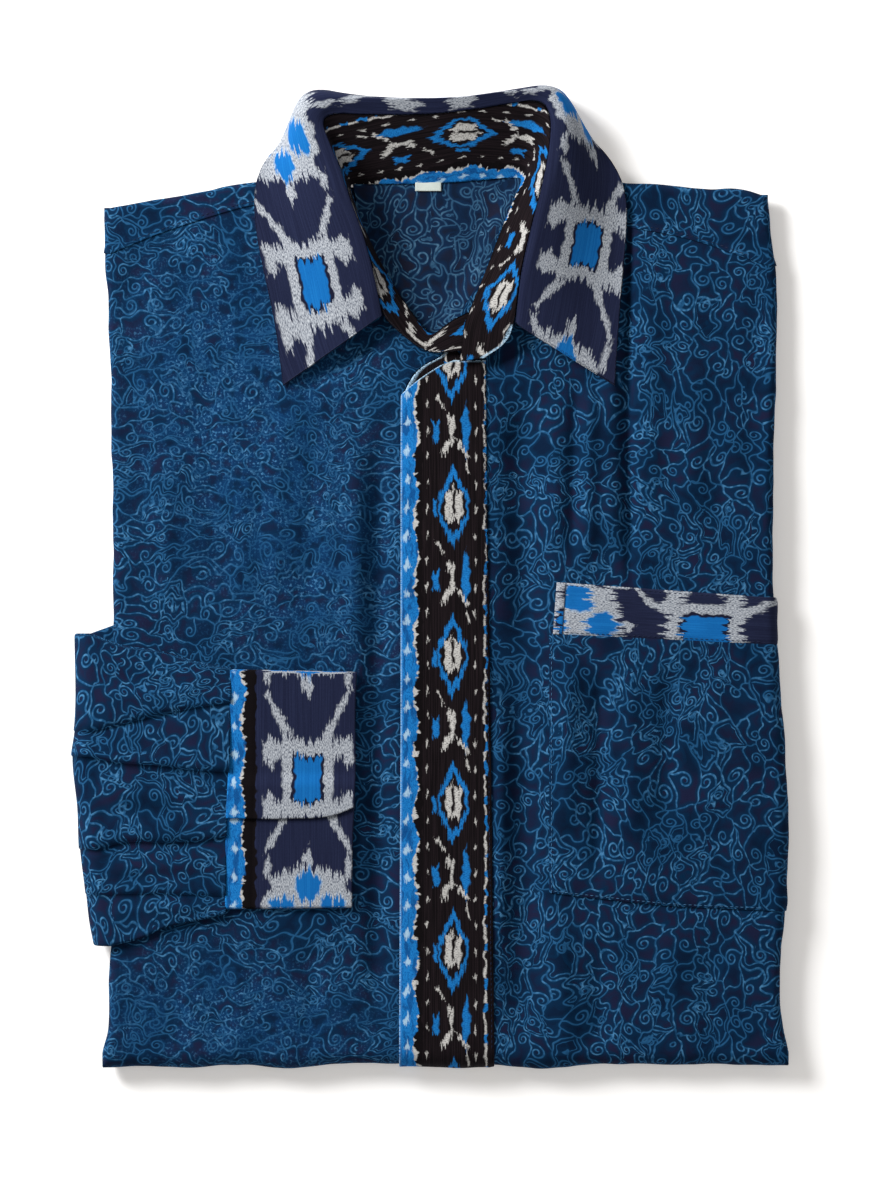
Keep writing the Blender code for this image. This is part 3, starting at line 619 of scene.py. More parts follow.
def build_yokes(finish):
    """The strips from the fronts round the shoulder folds: each laps over its front's edge."""
    pieces = []
    for name, left, right, seam, turns in (
            ("right_yoke", left_start, lambda y: neck_right(y) - SEAM_GAP, right_seam,
             (SIDE_TURN, 0)),
            ("left_yoke", lambda y: neck_left(y) + SEAM_GAP, right_start, left_seam,
             (0, SIDE_TURN))):
        places = spread(left, right, lambda x: seam(x) - YOKE_LAP, shoulder_start,
                        stops(turns[0], 70, turns[1]), stops(0, 22, TOP_TURN))
        lift = eased_edge(places[1] - seam(places[0]) + YOKE_LAP, YOKE_LAP_RISE)
        cloth = unrolled(*places)
        cloth = turned(cloth) if name == "right_yoke" else cloth + LEFT_YOKE_PRINT
        pieces.append(add_panel(name, places, lift, PANEL_CLOTH, cloth, finish))
    return pieces


def back_lap(y):
    """How far the back goes under the fronts: it stops short of them beside the yokes."""
    narrowed = smooth((y - BACK_NARROWING_Y) / BACK_NARROWING)
    return BACK_LAP - (BACK_LAP + YOKE_CLEARANCE) * narrowed


def build_back(finish):
    """The back's inside, which the neck opening shows."""
    x, y, _, _ = spread(lambda y: neck_right(y) - back_lap(y),
                        lambda y: neck_left(y) + back_lap(y),
                        lambda x: 0 * x + NECK_APEX - BACK_LAP,
                        lambda x: curve(SHOULDER_EDGE, x, "x", "y") + UNDER_STAND,
                        stops(0, 60, 0), stops(0, 60, 0))
    rise = NECK_CREASE_SHARE * crease_field(x, y, NECK_CREASES) - BACK_SINK
    face = stacked(x, y, back_height(x, y) + rise)
    flat = stacked(x, y) * (-1, 1)
    return add_cloth("back_inside", face, face - (0, 0, PANEL_CLOTH), flat, finish)


# ---------------------------------------------------------------- placket and pocket

PLACKET = {
    "y": (-246, -75, 60, 92, 95, 99.5, 103.5, 107, 109.5),
    "left": (-15.5, -14.7, -14.7, -14.6, -11.5, -6, -0.4, 5.5, 12),
    "right": (32.3, 30.4, 28.4, 28, 28, 28, 28, 28, 28)}
PLACKET_PRINT = (11.5, 35.5)
PLACKET_SEWN = (0.55, 3.0)
PLACKET_WAVE = 0.1
PLACKET_WAVE_ALONG = 9.0
TRIM_CLOTH = 1.0
BAND_TOP = 116.5
BAND_SINK = 0.15
BAND_PRINT = (24.0, 8.0)
POCKET_TURN = np.radians(110)
POCKET_LEFT = 59.6
POCKET_FOOT = {"x": (60, 90, 121, 150, 182), "y": (-157, -160.5, -163.6, -165, -166.5)}
POCKET_PRINT = (31.0, -17.0)
POCKET_SEWN = (0.6, 5.0)
UNDER_POCKET_BAND = 0.3
POCKET_BAND_CLOTH = 0.9
POCKET_BAND_LEFT = {"y": (-28, -1), "x": (61.4, 63.4)}
POCKET_BAND_TOP = {"x": (63, 172), "y": (-1.6, -9.4)}
POCKET_BAND_FOOT = {"x": (61, 172), "y": (-27.6, -33)}
POCKET_BAND_SLANT = np.diff(POCKET_BAND_FOOT["y"])[0] / np.diff(POCKET_BAND_FOOT["x"])[0]
POCKET_BAND_LENGTH = 104.0
POCKET_BAND_SEWN = (0.45, 2.5)
POCKET_BAND_PRINT = (137.5, 25.5)
# The band's end, which turns under: its length, how far it stands up, the groove beside it (its
# depth, its distance and its half width) and how far its print is slid.
BAND_END = 4.6
BAND_END_RISE = 0.35
BAND_END_GROOVE = (0.5, 0.4, 0.5)
BAND_END_SLIDE = 72.0
# The print's slide towards that end: how far, from where and over what length.
TIP_SLIDE = (10.0, 26.0, 14.0)


def edge_distance(places, sides):
    """Distance of each place from the sheet's named edges, straight across the grid."""
    x, y = places[:2]
    gaps = {"left": x - x[:, :1], "right": x[:, -1:] - x, "low": y - y[:1], "high": y[-1:] - y}
    return np.min([gaps[side] for side in sides], axis=0)


def turned_back(flat):
    """Cloth whose pattern runs along the strip: its length first, then its width."""
    return stacked(flat[..., 1], flat[..., 0])


def build_button_band(finish):
    """The band between the fronts, under the placket: its top edge shows as a crescent."""
    places = spread(lambda y: neck_right(y) + SEAM_GAP, lambda y: neck_left(y) - SEAM_GAP,
                    tail_start, lambda x: 0 * x + BAND_TOP,
                    stops(0, 24, 0), stops(TRIM_TURN, 200, 0))
    flat = turned_back(unrolled(*places) * (-1, 1) + BAND_PRINT)
    return add_panel("button_band_cloth", places, -BAND_SINK, TRIM_CLOTH, flat, finish)


def build_placket(finish):
    """The fly's cover, folded at its free edge and sewn down at the other."""
    top = PLACKET["y"][-1]
    places = spread(lambda y: straight(PLACKET, y, "y", "left"),
                    lambda y: straight(PLACKET, y, "y", "right"),
                    tail_start, lambda x: 0 * x + top, stops(0, 40, 0), stops(TRIM_TURN, 260, 0))
    lift = PLACKET_LIFT - eased_edge(edge_distance(places, ("right",)), PLACKET_SEWN)
    lift += PLACKET_WAVE * np.sin(places[1] / PLACKET_WAVE_ALONG)
    flat = unrolled(*places) - PLACKET_PRINT
    return add_panel("placket_cloth", places, lift, TRIM_CLOTH, turned_back(flat), finish)


def folded_end(across):
    """The grid lines with a close pair added where the band's end turns under."""
    shares, turns = across
    at = BAND_END / POCKET_BAND_LENGTH
    close = 0.001
    index = np.searchsorted(shares, at)
    return np.insert(shares, index, (at - close, at + close)), np.insert(turns, index, (0, 0))


def pocket_foot(x):
    return curve(POCKET_FOOT, x, "x", "y")


def pocket_band_foot(x):
    return straight(POCKET_BAND_FOOT, x, "x", "y")


def pocket_band_top(x):
    return straight(POCKET_BAND_TOP, x, "x", "y")


def pocket_band_print(flat, end):
    """The band's print: level with its slant, slid towards its end and where that turns under."""
    slide, start, length = TIP_SLIDE
    along = flat[..., 0] - POCKET_BAND_PRINT[0]
    across = flat[..., 1] + POCKET_BAND_PRINT[1] - POCKET_BAND_SLANT * along
    along -= slide * smooth((-along - start) / length)
    return stacked(along + BAND_END_SLIDE * (end < BAND_END), across)


def build_pocket(pocket_finish, band_finish):
    """The breast pocket and its band, on the left front and round the side fold."""
    places = spread(lambda y: 0 * y + POCKET_LEFT, right_start, pocket_foot,
                    lambda x: pocket_band_foot(x) + UNDER_POCKET_BAND,
                    stops(0, 64, POCKET_TURN), stops(0, 76, 0))
    lift = POCKET_LIFT - eased_edge(edge_distance(places, ("left", "low")), POCKET_SEWN)
    flat = unrolled(*places) + POCKET_PRINT
    pocket = add_panel("pocket_cloth", places, lift, PANEL_CLOTH, flat, pocket_finish)
    places = spread(lambda y: straight(POCKET_BAND_LEFT, y, "y", "x"), right_start,
                    pocket_band_foot, pocket_band_top,
                    folded_end(stops(0, 76, POCKET_TURN)), stops(0, 20, 0))
    lift = BAND_LIFT - eased_edge(edge_distance(places, ("left", "low", "high")), POCKET_BAND_SEWN)
    end = places[0] - places[0][:, :1]
    depth, distance, half_width = BAND_END_GROOVE
    groove = depth * np.exp(-((end - BAND_END - distance) / half_width) ** 2)
    lift += BAND_END_RISE * (end < BAND_END) - groove
    flat = pocket_band_print(unrolled(*places), end)
    band = add_panel("pocket_band_cloth", places, lift, POCKET_BAND_CLOTH, flat, band_finish)
    return pocket, band


# ---------------------------------------------------------------- sleeve and cuff

SLEEVE_LINES = {
    "along": (0, 0.22, 0.5, 0.8, 1),
    "top": (-28.5, -34, -37, -43.2, -45.2),
    "pleat_1": (-75.5, -72, -67, -63, -61),
    "pleat_2": (-88, -91, -92.5, -95, -95.5),
    "pleat_3": (-134.5, -130.8, -131, -130, -128),
    "pleat_4": (-157, -156.6, -156.6, -157.3, -157.6),
    "foot": (-182, -179, -172.5, -169, -166)}
PLEAT_STEP = {"pleat_1": 1.7, "pleat_2": 2.4, "pleat_3": 2.0, "pleat_4": 1.4, "foot": 0.6}
PLEAT_FACE = 0.9
SLEEVE_FOLD = {
    "y": (-182, -172, -157, -135, -116, -88, -72, -28),
    "x": (-168.4, -170.4, -172.2, -175.2, -176.2, -179, -177.6, -178)}
SLEEVE_FLOOR = 0.4
SLEEVE_TUCK_X = -136.0
TUCK_SLANT = 0.36
SLEEVE_CLIMB = 0.2
UNDER_CUFF = 0.6
RIPPLE_SHARE = 0.6
# Where the creases are held flat, in shares of the length: beside the fold and beside the cuff.
FOLD_HOLD = 0.1
CUFF_HOLD = (0.6, 0.85, 0.15)
PLEAT_SWELL = 1.3
SLEEVE_CREASES = (
    (-172, -60, -108, -52, 2, 3.2, 0.9),
    (-174, -50, -120, -56, -2, 3, -1.1),
    (-140, -44, -104, -50, 1, 2.6, 0.8),
    (-168, -74, -112, -62, 1.5, 2.4, -0.7),
    (-170, -104, -112, -108, 2.5, 4, 1.1),
    (-173, -120, -118, -116, -2, 3.5, -1.2),
    (-160, -126, -104, -123, 1, 2.6, 0.9),
    (-172, -146, -110, -139, 1.5, 3, 0.9),
    (-160, -150, -106, -150, -1, 2.6, -0.8),
    (-168, -168, -104, -163, -1, 3, 1),
    (-160, -176, -110, -168, 1, 2.4, -0.6),
    (-150, -100, -104, -103, 1, 2.6, -0.8),
    (-166, -96, -140, -124, 3, 5, 0.6),
    (-152, -80, -120, -86, 2, 3, -0.6))

CUFF_TOP = {"x": (-102, -36), "y": (-45, -46.4)}
CUFF_FOOT = {"x": (-103, -39), "y": (-165.2, -164.4)}
CUFF_SEAM_X = {"y": (-165, -119, -94, -45), "x": (-102.6, -102, -100.8, -100)}
CUFF_MOUTH_X = {"y": (-165, -133, -98, -64, -46), "x": (-39, -38.6, -37.2, -37.2, -36.4)}
CUFF_CLOTH = 1.1
CUFF_HALF = 0.65
CUFF_PITCH = 1.75
CUFF_LAP_END = {"x": (-102, -73, -47, -36), "y": (-119.6, -119.8, -117.4, -112.6)}
CUFF_LAP_ROOT = -104.0
CUFF_LAP_CLIMB = 8.0
# The sewn line across the cuff: its share of the way, its depth and its half width.
CUFF_SEAM = (0.215, 0.45, 0.012)
CUFF_FIGURE = (-61.0, 100.0)
CUFF_LAP_SLIDE = 8.0
# Length of the large ikat's repeat.
LARGE_REPEAT = 148.0


def sleeve_rows(count):
    """For each row across the sleeve: the line above it, the one below, and its share between."""
    names = [name for name in SLEEVE_LINES if name != "along"]
    return [(above, below, share) for above, below in zip(names[:-1], names[1:])
            for share in np.linspace(0, 1, count)]


def sleeve_layer(rows, columns, lift, rise, pleated):
    """One layer of the sleeve, from its tucked end, round the side fold and on to the cuff."""
    along = np.linspace(0, 1, columns)
    y = []
    for above, below, share in rows:
        start = curve(SLEEVE_LINES, along, "along", above)
        start = start - PLEAT_FACE * pleated * (above != "top")
        y.append(start + (curve(SLEEVE_LINES, along, "along", below) - start) * share)
    y = np.array(y)
    fold_y = y[:, :1]
    roof = body_height(SIDE_FOLDS_X[0], fold_y) + LAYER_GAP + SLEEVE_WALL
    radius = (roof - SLEEVE_FLOOR) / 2
    centre_x = curve(SLEEVE_FOLD, fold_y, "y", "x") + radius
    x = SLEEVE_TUCK_X + (centre_x - SLEEVE_TUCK_X) * np.linspace(0, 1, 12, endpoint=False)
    tucked = stacked(x, fold_y + TUCK_SLANT * (x - centre_x), 0 * x + SLEEVE_FLOOR - lift)
    angle = np.radians(np.arange(0, 180, 10))
    grown = radius + lift + rise * np.sin(angle / 2) ** 4
    side = stacked(centre_x - grown * np.sin(angle), fold_y + 0 * grown,
                   SLEEVE_FLOOR + radius - grown * np.cos(angle))
    x = centre_x + (curve(CUFF_SEAM_X, y, "y", "x") + UNDER_CUFF - centre_x) * along
    height = body_height(x, y) + LAYER_GAP + SLEEVE_WALL
    height = roof + (height - roof) * smooth(along / SLEEVE_CLIMB)
    wrinkle = pleated * (crease_field(x, y, SLEEVE_CREASES) + RIPPLE_SHARE * ripple_field(x, y))
    hold, hold_start, hold_length = CUFF_HOLD
    held = smooth(along / FOLD_HOLD) * (1 - hold * smooth((along - hold_start) / hold_length))
    laid = stacked(x, y, height + lift + rise + wrinkle * held)
    return np.concatenate((tucked, side, laid), axis=1)


def folded_edge(first, last):
    """Rows that turn in half a circle from one layer's edge to the other's."""
    middle = (first + last) / 2
    half = (first - last) / 2
    size = np.linalg.norm(half, axis=-1, keepdims=True)
    outward = unit(np.cross(unit(np.gradient(middle, axis=0)), half))
    turns = np.radians((30, 60, 90, 120, 150))[:, None, None]
    return middle + half * np.cos(turns) + outward * size * np.sin(turns)


def add_tube(name, outer, wall, finish):
    """A tube of cloth from a grid whose rows go round it: two skins joined at both ends."""
    rows, columns = outer.shape[:2]
    around = np.roll(outer, -1, axis=0) - np.roll(outer, 1, axis=0)
    inner = outer - wall * unit(np.cross(around, np.gradient(outer, axis=1)))
    index = np.arange(rows * columns).reshape(rows, columns)
    following = np.roll(index, -1, axis=0)
    skin = np.stack([corner.ravel() for corner in (
        index[:, :-1], following[:, :-1], following[:, 1:], index[:, 1:])], axis=1)
    count = rows * columns
    start, after = index[:, 0], following[:, 0]
    near = stacked(start, start + count, after + count, after)
    start, after = index[:, -1], following[:, -1]
    far = stacked(start, after, after + count, start + count)
    steps_round = np.linalg.norm(np.diff(outer, axis=0, prepend=outer[:1]), axis=2)
    round_it = steps_round.mean(axis=1).cumsum()
    along = np.linalg.norm(np.diff(outer, axis=1, prepend=outer[:, :1]), axis=2).cumsum(axis=1)
    flat = stacked(along - along[:, -1:], -round_it[:, None] + 0 * along).reshape(-1, 2)
    points = np.concatenate((outer.reshape(-1, 3), inner.reshape(-1, 3)))
    faces = np.concatenate((skin, skin[:, ::-1] + count, near, far))
    return add_mesh(name, points, faces, np.concatenate((flat, flat)), finish)


def build_sleeve(finish):
    """The sleeve: a flattened tube, pleated above and plain beneath, folded at both edges."""
    rows = sleeve_rows(12)
    rise = np.array([[PLEAT_STEP[below] * share ** PLEAT_SWELL] for _, below, share in rows])
    upper = sleeve_layer(rows, 90, 0, rise, 1)
    lower = sleeve_layer(rows, 90, -SLEEVE_WALL, 0 * rise, 0)
    foot_edge = folded_edge(upper[-1], lower[-1])
    top_edge = folded_edge(lower[0], upper[0])
    loop = np.concatenate((upper, foot_edge, lower[::-1], top_edge))
    return add_tube("sleeve_cloth", loop, PANEL_CLOTH, finish)


def cuff_section(near_x):
    """The strip's middle line at one place across the cuff, as y and level.

    It goes from its root under the lap down to the foot, round it, back beneath to the top,
    round that and over itself, where the lap's end climbs on to the root.
    """
    fold = CUFF_PITCH / 2
    corner = np.radians(np.arange(15, 180, 15))
    top = straight(CUFF_TOP, near_x, "x", "y") - CUFF_HALF - fold
    foot = straight(CUFF_FOOT, near_x, "x", "y") + CUFF_HALF + fold
    lap = curve(CUFF_LAP_END, near_x, "x", "y")
    climb_start = CUFF_LAP_ROOT + CUFF_LAP_CLIMB
    upper = np.linspace(top, climb_start, 36)
    upper = np.concatenate((upper, np.linspace(climb_start - 1, lap, 24)))
    climb = smooth((climb_start - upper) / CUFF_LAP_CLIMB)
    straight_count = 50
    root = np.linspace(CUFF_LAP_ROOT, foot, straight_count)
    beneath = np.linspace(foot, top, straight_count)
    y = np.concatenate((root, foot - fold * np.sin(corner), beneath,
                        top + fold * np.sin(corner), upper))
    level = np.concatenate((0 * root + (CUFF_HALF + CUFF_PITCH),
                            CUFF_HALF + fold + fold * np.cos(corner), 0 * beneath + CUFF_HALF,
                            CUFF_HALF + fold - fold * np.cos(corner),
                            CUFF_HALF + CUFF_PITCH * (1 + climb)))
    hidden = np.arange(len(y)) - straight_count
    return y, level, np.clip(hidden / (straight_count + 2 * len(corner)), 0, 1)


def build_cuff(finish):
    """The cuff: one strip from under its lap, round the foot, back beneath and over itself."""
    middle_x = np.mean((CUFF_SEAM_X["x"][0], CUFF_MOUTH_X["x"][0]))
    span = CUFF_MOUTH_X["x"][0] - CUFF_SEAM_X["x"][0]
    seam_share, seam_depth, seam_half = CUFF_SEAM
    sections, places = [], []
    for share in np.linspace(0, 1, 60):
        y, level, under = cuff_section(middle_x + span * (share - 0.5))
        start = curve(CUFF_SEAM_X, y, "y", "x")
        x = start + (curve(CUFF_MOUTH_X, y, "y", "x") - start) * share
        seam = -seam_depth * np.exp(-((share - seam_share) / seam_half) ** 2)
        level = level + seam * (level > CUFF_PITCH)
        sections.append(stacked(x, y, body_height(x, y) + LAYER_GAP + level))
        drawn = y + CUFF_FIGURE[1] - CUFF_LAP_SLIDE * (under == 0)
        places.append(stacked(drawn - 2 * LARGE_REPEAT * under, x - CUFF_FIGURE[0]))
    middle = np.stack(sections, axis=1)
    normal = unit(np.cross(np.gradient(middle, axis=1), np.gradient(middle, axis=0)))
    half = CUFF_CLOTH / 2
    return add_cloth("cuff_cloth", middle + half * normal, middle - half * normal,
                     np.stack(places, axis=1), finish)


# ---------------------------------------------------------------- collar

# One row for each station, from the stand's tucked front end at the wearer's right, round the
# back, to its end on the placket. seam: where the stand leaves the body. top: where the leaf
# joins the stand. roll: how far the leaf goes on before it turns. outer: the leaf's outermost
# line. under: how far its free edge goes back beneath that line.
COLLAR_COLUMNS = ("seam_x", "seam_y", "seam_z", "top_x", "top_y", "top_z",
                  "roll", "outer_x", "outer_y", "under")
COLLAR = np.array((
    (19, 133.5, 13.2, 22, 115, 13.6, 0, 25, 96, 0),
    (9, 128.5, 13.2, 6, 113, 13.8, 0, 3, 96, 0),
    (0.5, 120.8, 13.2, -4, 114.5, 14.2, 0, -10, 104, 0),
    (-8, 132, 13, -15.5, 123.5, 16.4, 0, -26, 114, 0),
    (-14.5, 141, 12.8, -23.5, 132, 19, 1.6, -73.5, 96.5, 0),
    (-19, 149, 12.6, -26, 145, 20.5, 2, -77.5, 128, 0),
    (-24.5, 158, 12.2, -28.8, 157, 22, 2.2, -82, 148, 0),
    (-32.5, 174.5, 11.6, -34, 174.5, 24, 2.4, -86.5, 169, 0),
    (-38.5, 190, 11.3, -40.5, 191.5, 26, 2.6, -88.6, 189.5, 0),
    (-40, 196.6, 11.2, -45, 206, 26, 3, -86, 204.5, 1),
    (-38.5, 197.6, 9.4, -50.5, 218.5, 25, 3, -79.5, 217, 6),
    (-36, 197.6, 7.6, -54, 228.5, 23.4, 3.4, -70.2, 231.8, 14),
    (-30, 197.6, 6.8, -48.5, 232.6, 21.4, 5.6, -61.5, 246.6, 24),
    (-20, 197.6, 6.6, -32, 231.4, 20.6, 7.2, -36, 241.6, 27),
    (0, 197.8, 6.6, -3, 231.4, 20.4, 6.8, -3.5, 240.2, 27),
    (18, 199, 6.6, 18, 233.4, 20.6, 6, 18.5, 241.2, 27),
    (33, 200.4, 6.6, 38, 236.8, 21, 5.8, 39, 244.4, 27),
    (42, 201, 6.8, 55, 239.4, 22.2, 4.4, 63, 248.4, 24),
    (45.4, 200.4, 7.8, 60, 231.5, 24, 3.4, 73.4, 235.2, 14),
    (45.6, 199.6, 9.6, 60, 220.5, 25.2, 3, 84.4, 220.4, 6),
    (45.4, 198, 11.2, 58, 208, 26, 3, 94, 205.4, 1),
    (42.4, 191, 11.3, 55, 193.5, 26, 2.6, 99, 190, 0),
    (35, 173.5, 11.8, 50, 175.5, 24.2, 2.4, 98, 168, 0),
    (27.8, 154, 13, 45, 154, 21.8, 2.2, 95.5, 140, 0),
    (21.8, 139.5, 14.6, 43.4, 140, 20, 2, 94, 120, 0),
    (17, 128, 15.6, 42, 127.8, 18.4, 1.6, 92.5, 96.5, 0),
    (15.8, 117, 16.2, 38.5, 118, 17.4, 0, 60, 112, 0),
    (14.6, 108.6, 16.4, 27, 110.4, 16.8, 0, 40, 106, 0)))
# The stations that the leaf has.
LEAF_ROWS = slice(4, 26)
LEAF_GAP = 0.6
LEAF_RISE = 0.3
# The leaf's section where it lies flat: shares of the way out and of the fall.
LEAF_FLAT = ((0.07, 0.03), (0.34, 0.26), (0.68, 0.8), (0.88, 0.97), (1, 1))
# The heights, in shares of the crest's, of its section where it hangs free.
LEAF_HUNG = (0.78, 0.3)
LEAF_REST = 0.9
HANGING_REST = 0.6
TUCK_FULL = 14.0
COLLAR_CLOTH = 1.1
# Where a place of the print lies: x, y, and its places along and across the cloth.
STAND_FIGURES = (
    (-21.0, 139.5, -159.0, 0.0), (17.0, 223.5, 0.0, 0.0), (36.5, 142.0, 148.0, 0.0))
LEAF_FIGURES = (
    (-58.6, 148.5, 0.0, 0.0), (-72.8, 206.0, 60.0, 0.0), (4.0, 238.0, 148.0, -18.0),
    (78.0, 167.0, 296.0, 0.0), (67.0, 113.0, 356.0, 0.0))
TAB_X = (-7.4, 5.6)
TAB_Y = (194.2, 198.6)
TAB_CLOTH = 0.5
TAB_LIFT = 1.0
TAB_BEND = 0.12
TAB_BEND_ACROSS = 2.2


def rounded(points, axis, rounds):
    """Cut the corners of a cage along one axis, a quarter from each end, keeping its ends."""
    points = np.moveaxis(points, axis, 0)
    for _ in range(rounds):
        near = 0.75 * points[:-1] + 0.25 * points[1:]
        far = 0.25 * points[:-1] + 0.75 * points[1:]
        inner = np.stack((near, far), axis=1).reshape(-1, *points.shape[1:])
        points = np.concatenate((points[:1], inner, points[-1:]))
    return np.moveaxis(points, 0, axis)


def side_by_side(*parts):
    """One table from the columns of others."""
    return np.concatenate(parts, axis=1)


def collar_cage():
    """Control points of the collar's section at each station, seam to free edge."""
    column = {name: COLLAR[:, index, None] for index, name in enumerate(COLLAR_COLUMNS)}
    seam = side_by_side(*(column["seam_" + axis] for axis in "xyz"))
    top = side_by_side(*(column["top_" + axis] for axis in "xyz"))
    outer = side_by_side(column["outer_x"], column["outer_y"])
    outward = unit(outer - top[:, :2])
    crest_out = 0.9
    crest_up = 0.5
    crest_share = 0.4
    crest = top[:, :2] + (column["roll"] + crest_out) * outward
    level = top[:, 2:] + crest_share * column["roll"] + crest_up
    tucked = np.clip(column["under"] / TUCK_FULL, 0, 1)
    rest = body_height(column["outer_x"], column["outer_y"]) + LEAF_REST
    rest = SOLID_WALL + rest + (HANGING_REST - rest) * tucked
    flat = [side_by_side(crest + (outer - crest) * share, level + (rest - level) * fall)
            for share, fall in LEAF_FLAT]
    underside = 2.0
    hung = [side_by_side((crest + outer) / 2, level)]
    hung += [side_by_side(outer, level * share) for share in LEAF_HUNG]
    hung += [side_by_side(outer - outward * inward, rest)
             for inward in (underside, column["under"])]
    turn = [laid + (free - laid) * tucked for laid, free in zip(flat, hung)]
    return seam, top, [side_by_side(crest, level)] + turn


def laid_out(grid):
    """Places on the flat cloth: the length of the middle line, and each section's length."""
    middle = grid[:, grid.shape[1] // 2]
    along = np.concatenate(((0,), np.cumsum(np.linalg.norm(np.diff(middle, axis=0), axis=1))))
    steps = np.linalg.norm(np.diff(grid, axis=1), axis=2)
    across = np.concatenate((np.zeros((len(grid), 1)), np.cumsum(steps, axis=1)), axis=1)
    return stacked(along[:, None] + 0 * across, across)


def behind(grid, wall):
    """The grid moved away from the face that its normals leave."""
    return grid - wall * unit(np.cross(np.gradient(grid, axis=1), np.gradient(grid, axis=0)))


def collar_piece(name, cage, rounds, figures, finish):
    """A cloth of the collar from its cage, and its face's grid."""
    face = rounded(rounded(cage, 1, rounds), 0, 3)
    flat = match_figures(laid_out(face), face, figures)[:, ::-1]
    face = face[:, ::-1]
    return add_cloth(name, face, behind(face, COLLAR_CLOTH), flat, finish), face


def build_collar(stand_finish, leaf_finish):
    """The stand, and the leaf that turns over it, as one section split at the seam."""
    seam, top, leaf = collar_cage()
    stand = np.stack((seam, (seam + top) / 2, top), axis=1)
    stand_piece, _ = collar_piece("stand_cloth", stand, 4, STAND_FIGURES, stand_finish)
    down = unit(seam - top)
    start = top - down * LEAF_GAP
    rise = LEAF_RISE * COLLAR[:, COLLAR_COLUMNS.index("roll"), None]
    leaf = np.stack([start, start - down * rise] + leaf, axis=1)[LEAF_ROWS]
    leaf_piece, leaf_face = collar_piece("leaf_cloth", leaf, 3, LEAF_FIGURES, leaf_finish)
    return stand_piece, leaf_piece, leaf_face


def match_figures(flat, grid, figures):
    """Slide a collar cloth so that each named place of its print lies where it should.

    Between two places the slides are mixed by the length along the collar. What lies lower than
    the leaf's face is passed over.
    """
    lowest = 10
    rows = []
    for x, y, along, across in figures:
        distance = np.hypot(grid[..., 0] - x, grid[..., 1] - y)
        distance[grid[..., 2] < lowest] = np.inf
        nearest = np.unravel_index(np.argmin(distance), distance.shape)
        rows.append((flat[nearest][0], along - flat[nearest][0], across - flat[nearest][1]))
    places, along_slides, across_slides = np.array(rows).T
    return flat + stacked(np.interp(flat[..., 0], places, along_slides),
                          np.interp(flat[..., 0], places, across_slides))


def build_tab(finish):
    """The blank woven tab at the back of the neck."""
    x, y = np.meshgrid(np.linspace(*TAB_X, 16), np.linspace(*TAB_Y, 8))
    bend = TAB_BEND * np.sin(x / TAB_BEND_ACROSS)
    face = stacked(x, y, back_height(x, y) + TAB_LIFT + bend)
    return add_cloth("tab_cloth", face, face - (0, 0, TAB_CLOTH), stacked(x, y), finish)


# ---------------------------------------------------------------- shader values

def dye(code):
    """A colour from its six hexadecimal digits, as the linear values that shaders use."""
    values = np.array([int(code[at:at + 2], 16) for at in (0, 2, 4)]) / 255
    values = np.where(values <= 0.04045, values / 12.92, ((values + 0.055) / 1.055) ** 2.4)
    return (*values.tolist(), 1.0)


def math_method(operation, turned_round=False):
    """A method that adds a Math node to its value and the others given."""
    return lambda value, *others: value.math(operation, *others, turned_round=turned_round)


class Value:
    """A number or colour worked out by shader nodes. Python's operators add Math nodes."""

    def __init__(self, cloth, socket):
        self.cloth = cloth
        self.socket = socket

    def math(self, operation, *others, turned_round=False):
        """Add a Math node. When turned round, this value is its last, not its first."""
        values = (*others, self) if turned_round else (self, *others)
        return self.cloth.node("ShaderNodeMath", {"operation": operation}, values)

    __add__ = __radd__ = math_method("ADD")
    __sub__ = math_method("SUBTRACT")
    __rsub__ = math_method("SUBTRACT", turned_round=True)
    __mul__ = __rmul__ = math_method("MULTIPLY")
    __truediv__ = math_method("DIVIDE")
    __rtruediv__ = math_method("DIVIDE", turned_round=True)
    __abs__ = math_method("ABSOLUTE")
    least = math_method("MINIMUM")
    most = math_method("MAXIMUM")
    over = math_method("GREATER_THAN")
    floor = math_method("FLOOR")
    root = math_method("SQRT")

    def __neg__(self):
        return self * -1.0

    def bell(self, width):
        """1 at 0, falling to nothing over a few widths each way."""
        return (-(self / width) * (self / width)).math("EXPONENT")

    def repeated(self, length):
        """The distance from the middle of the repeat that it lies in."""
        return self.math("WRAP", length / 2, -length / 2)

    def eased(self, low, high):
        """0 below low and 1 above high, with level ends."""
        return self.cloth.node("ShaderNodeMapRange", {"interpolation_type": "SMOOTHSTEP"},
                               {"Value": self, "From Min": low, "From Max": high})


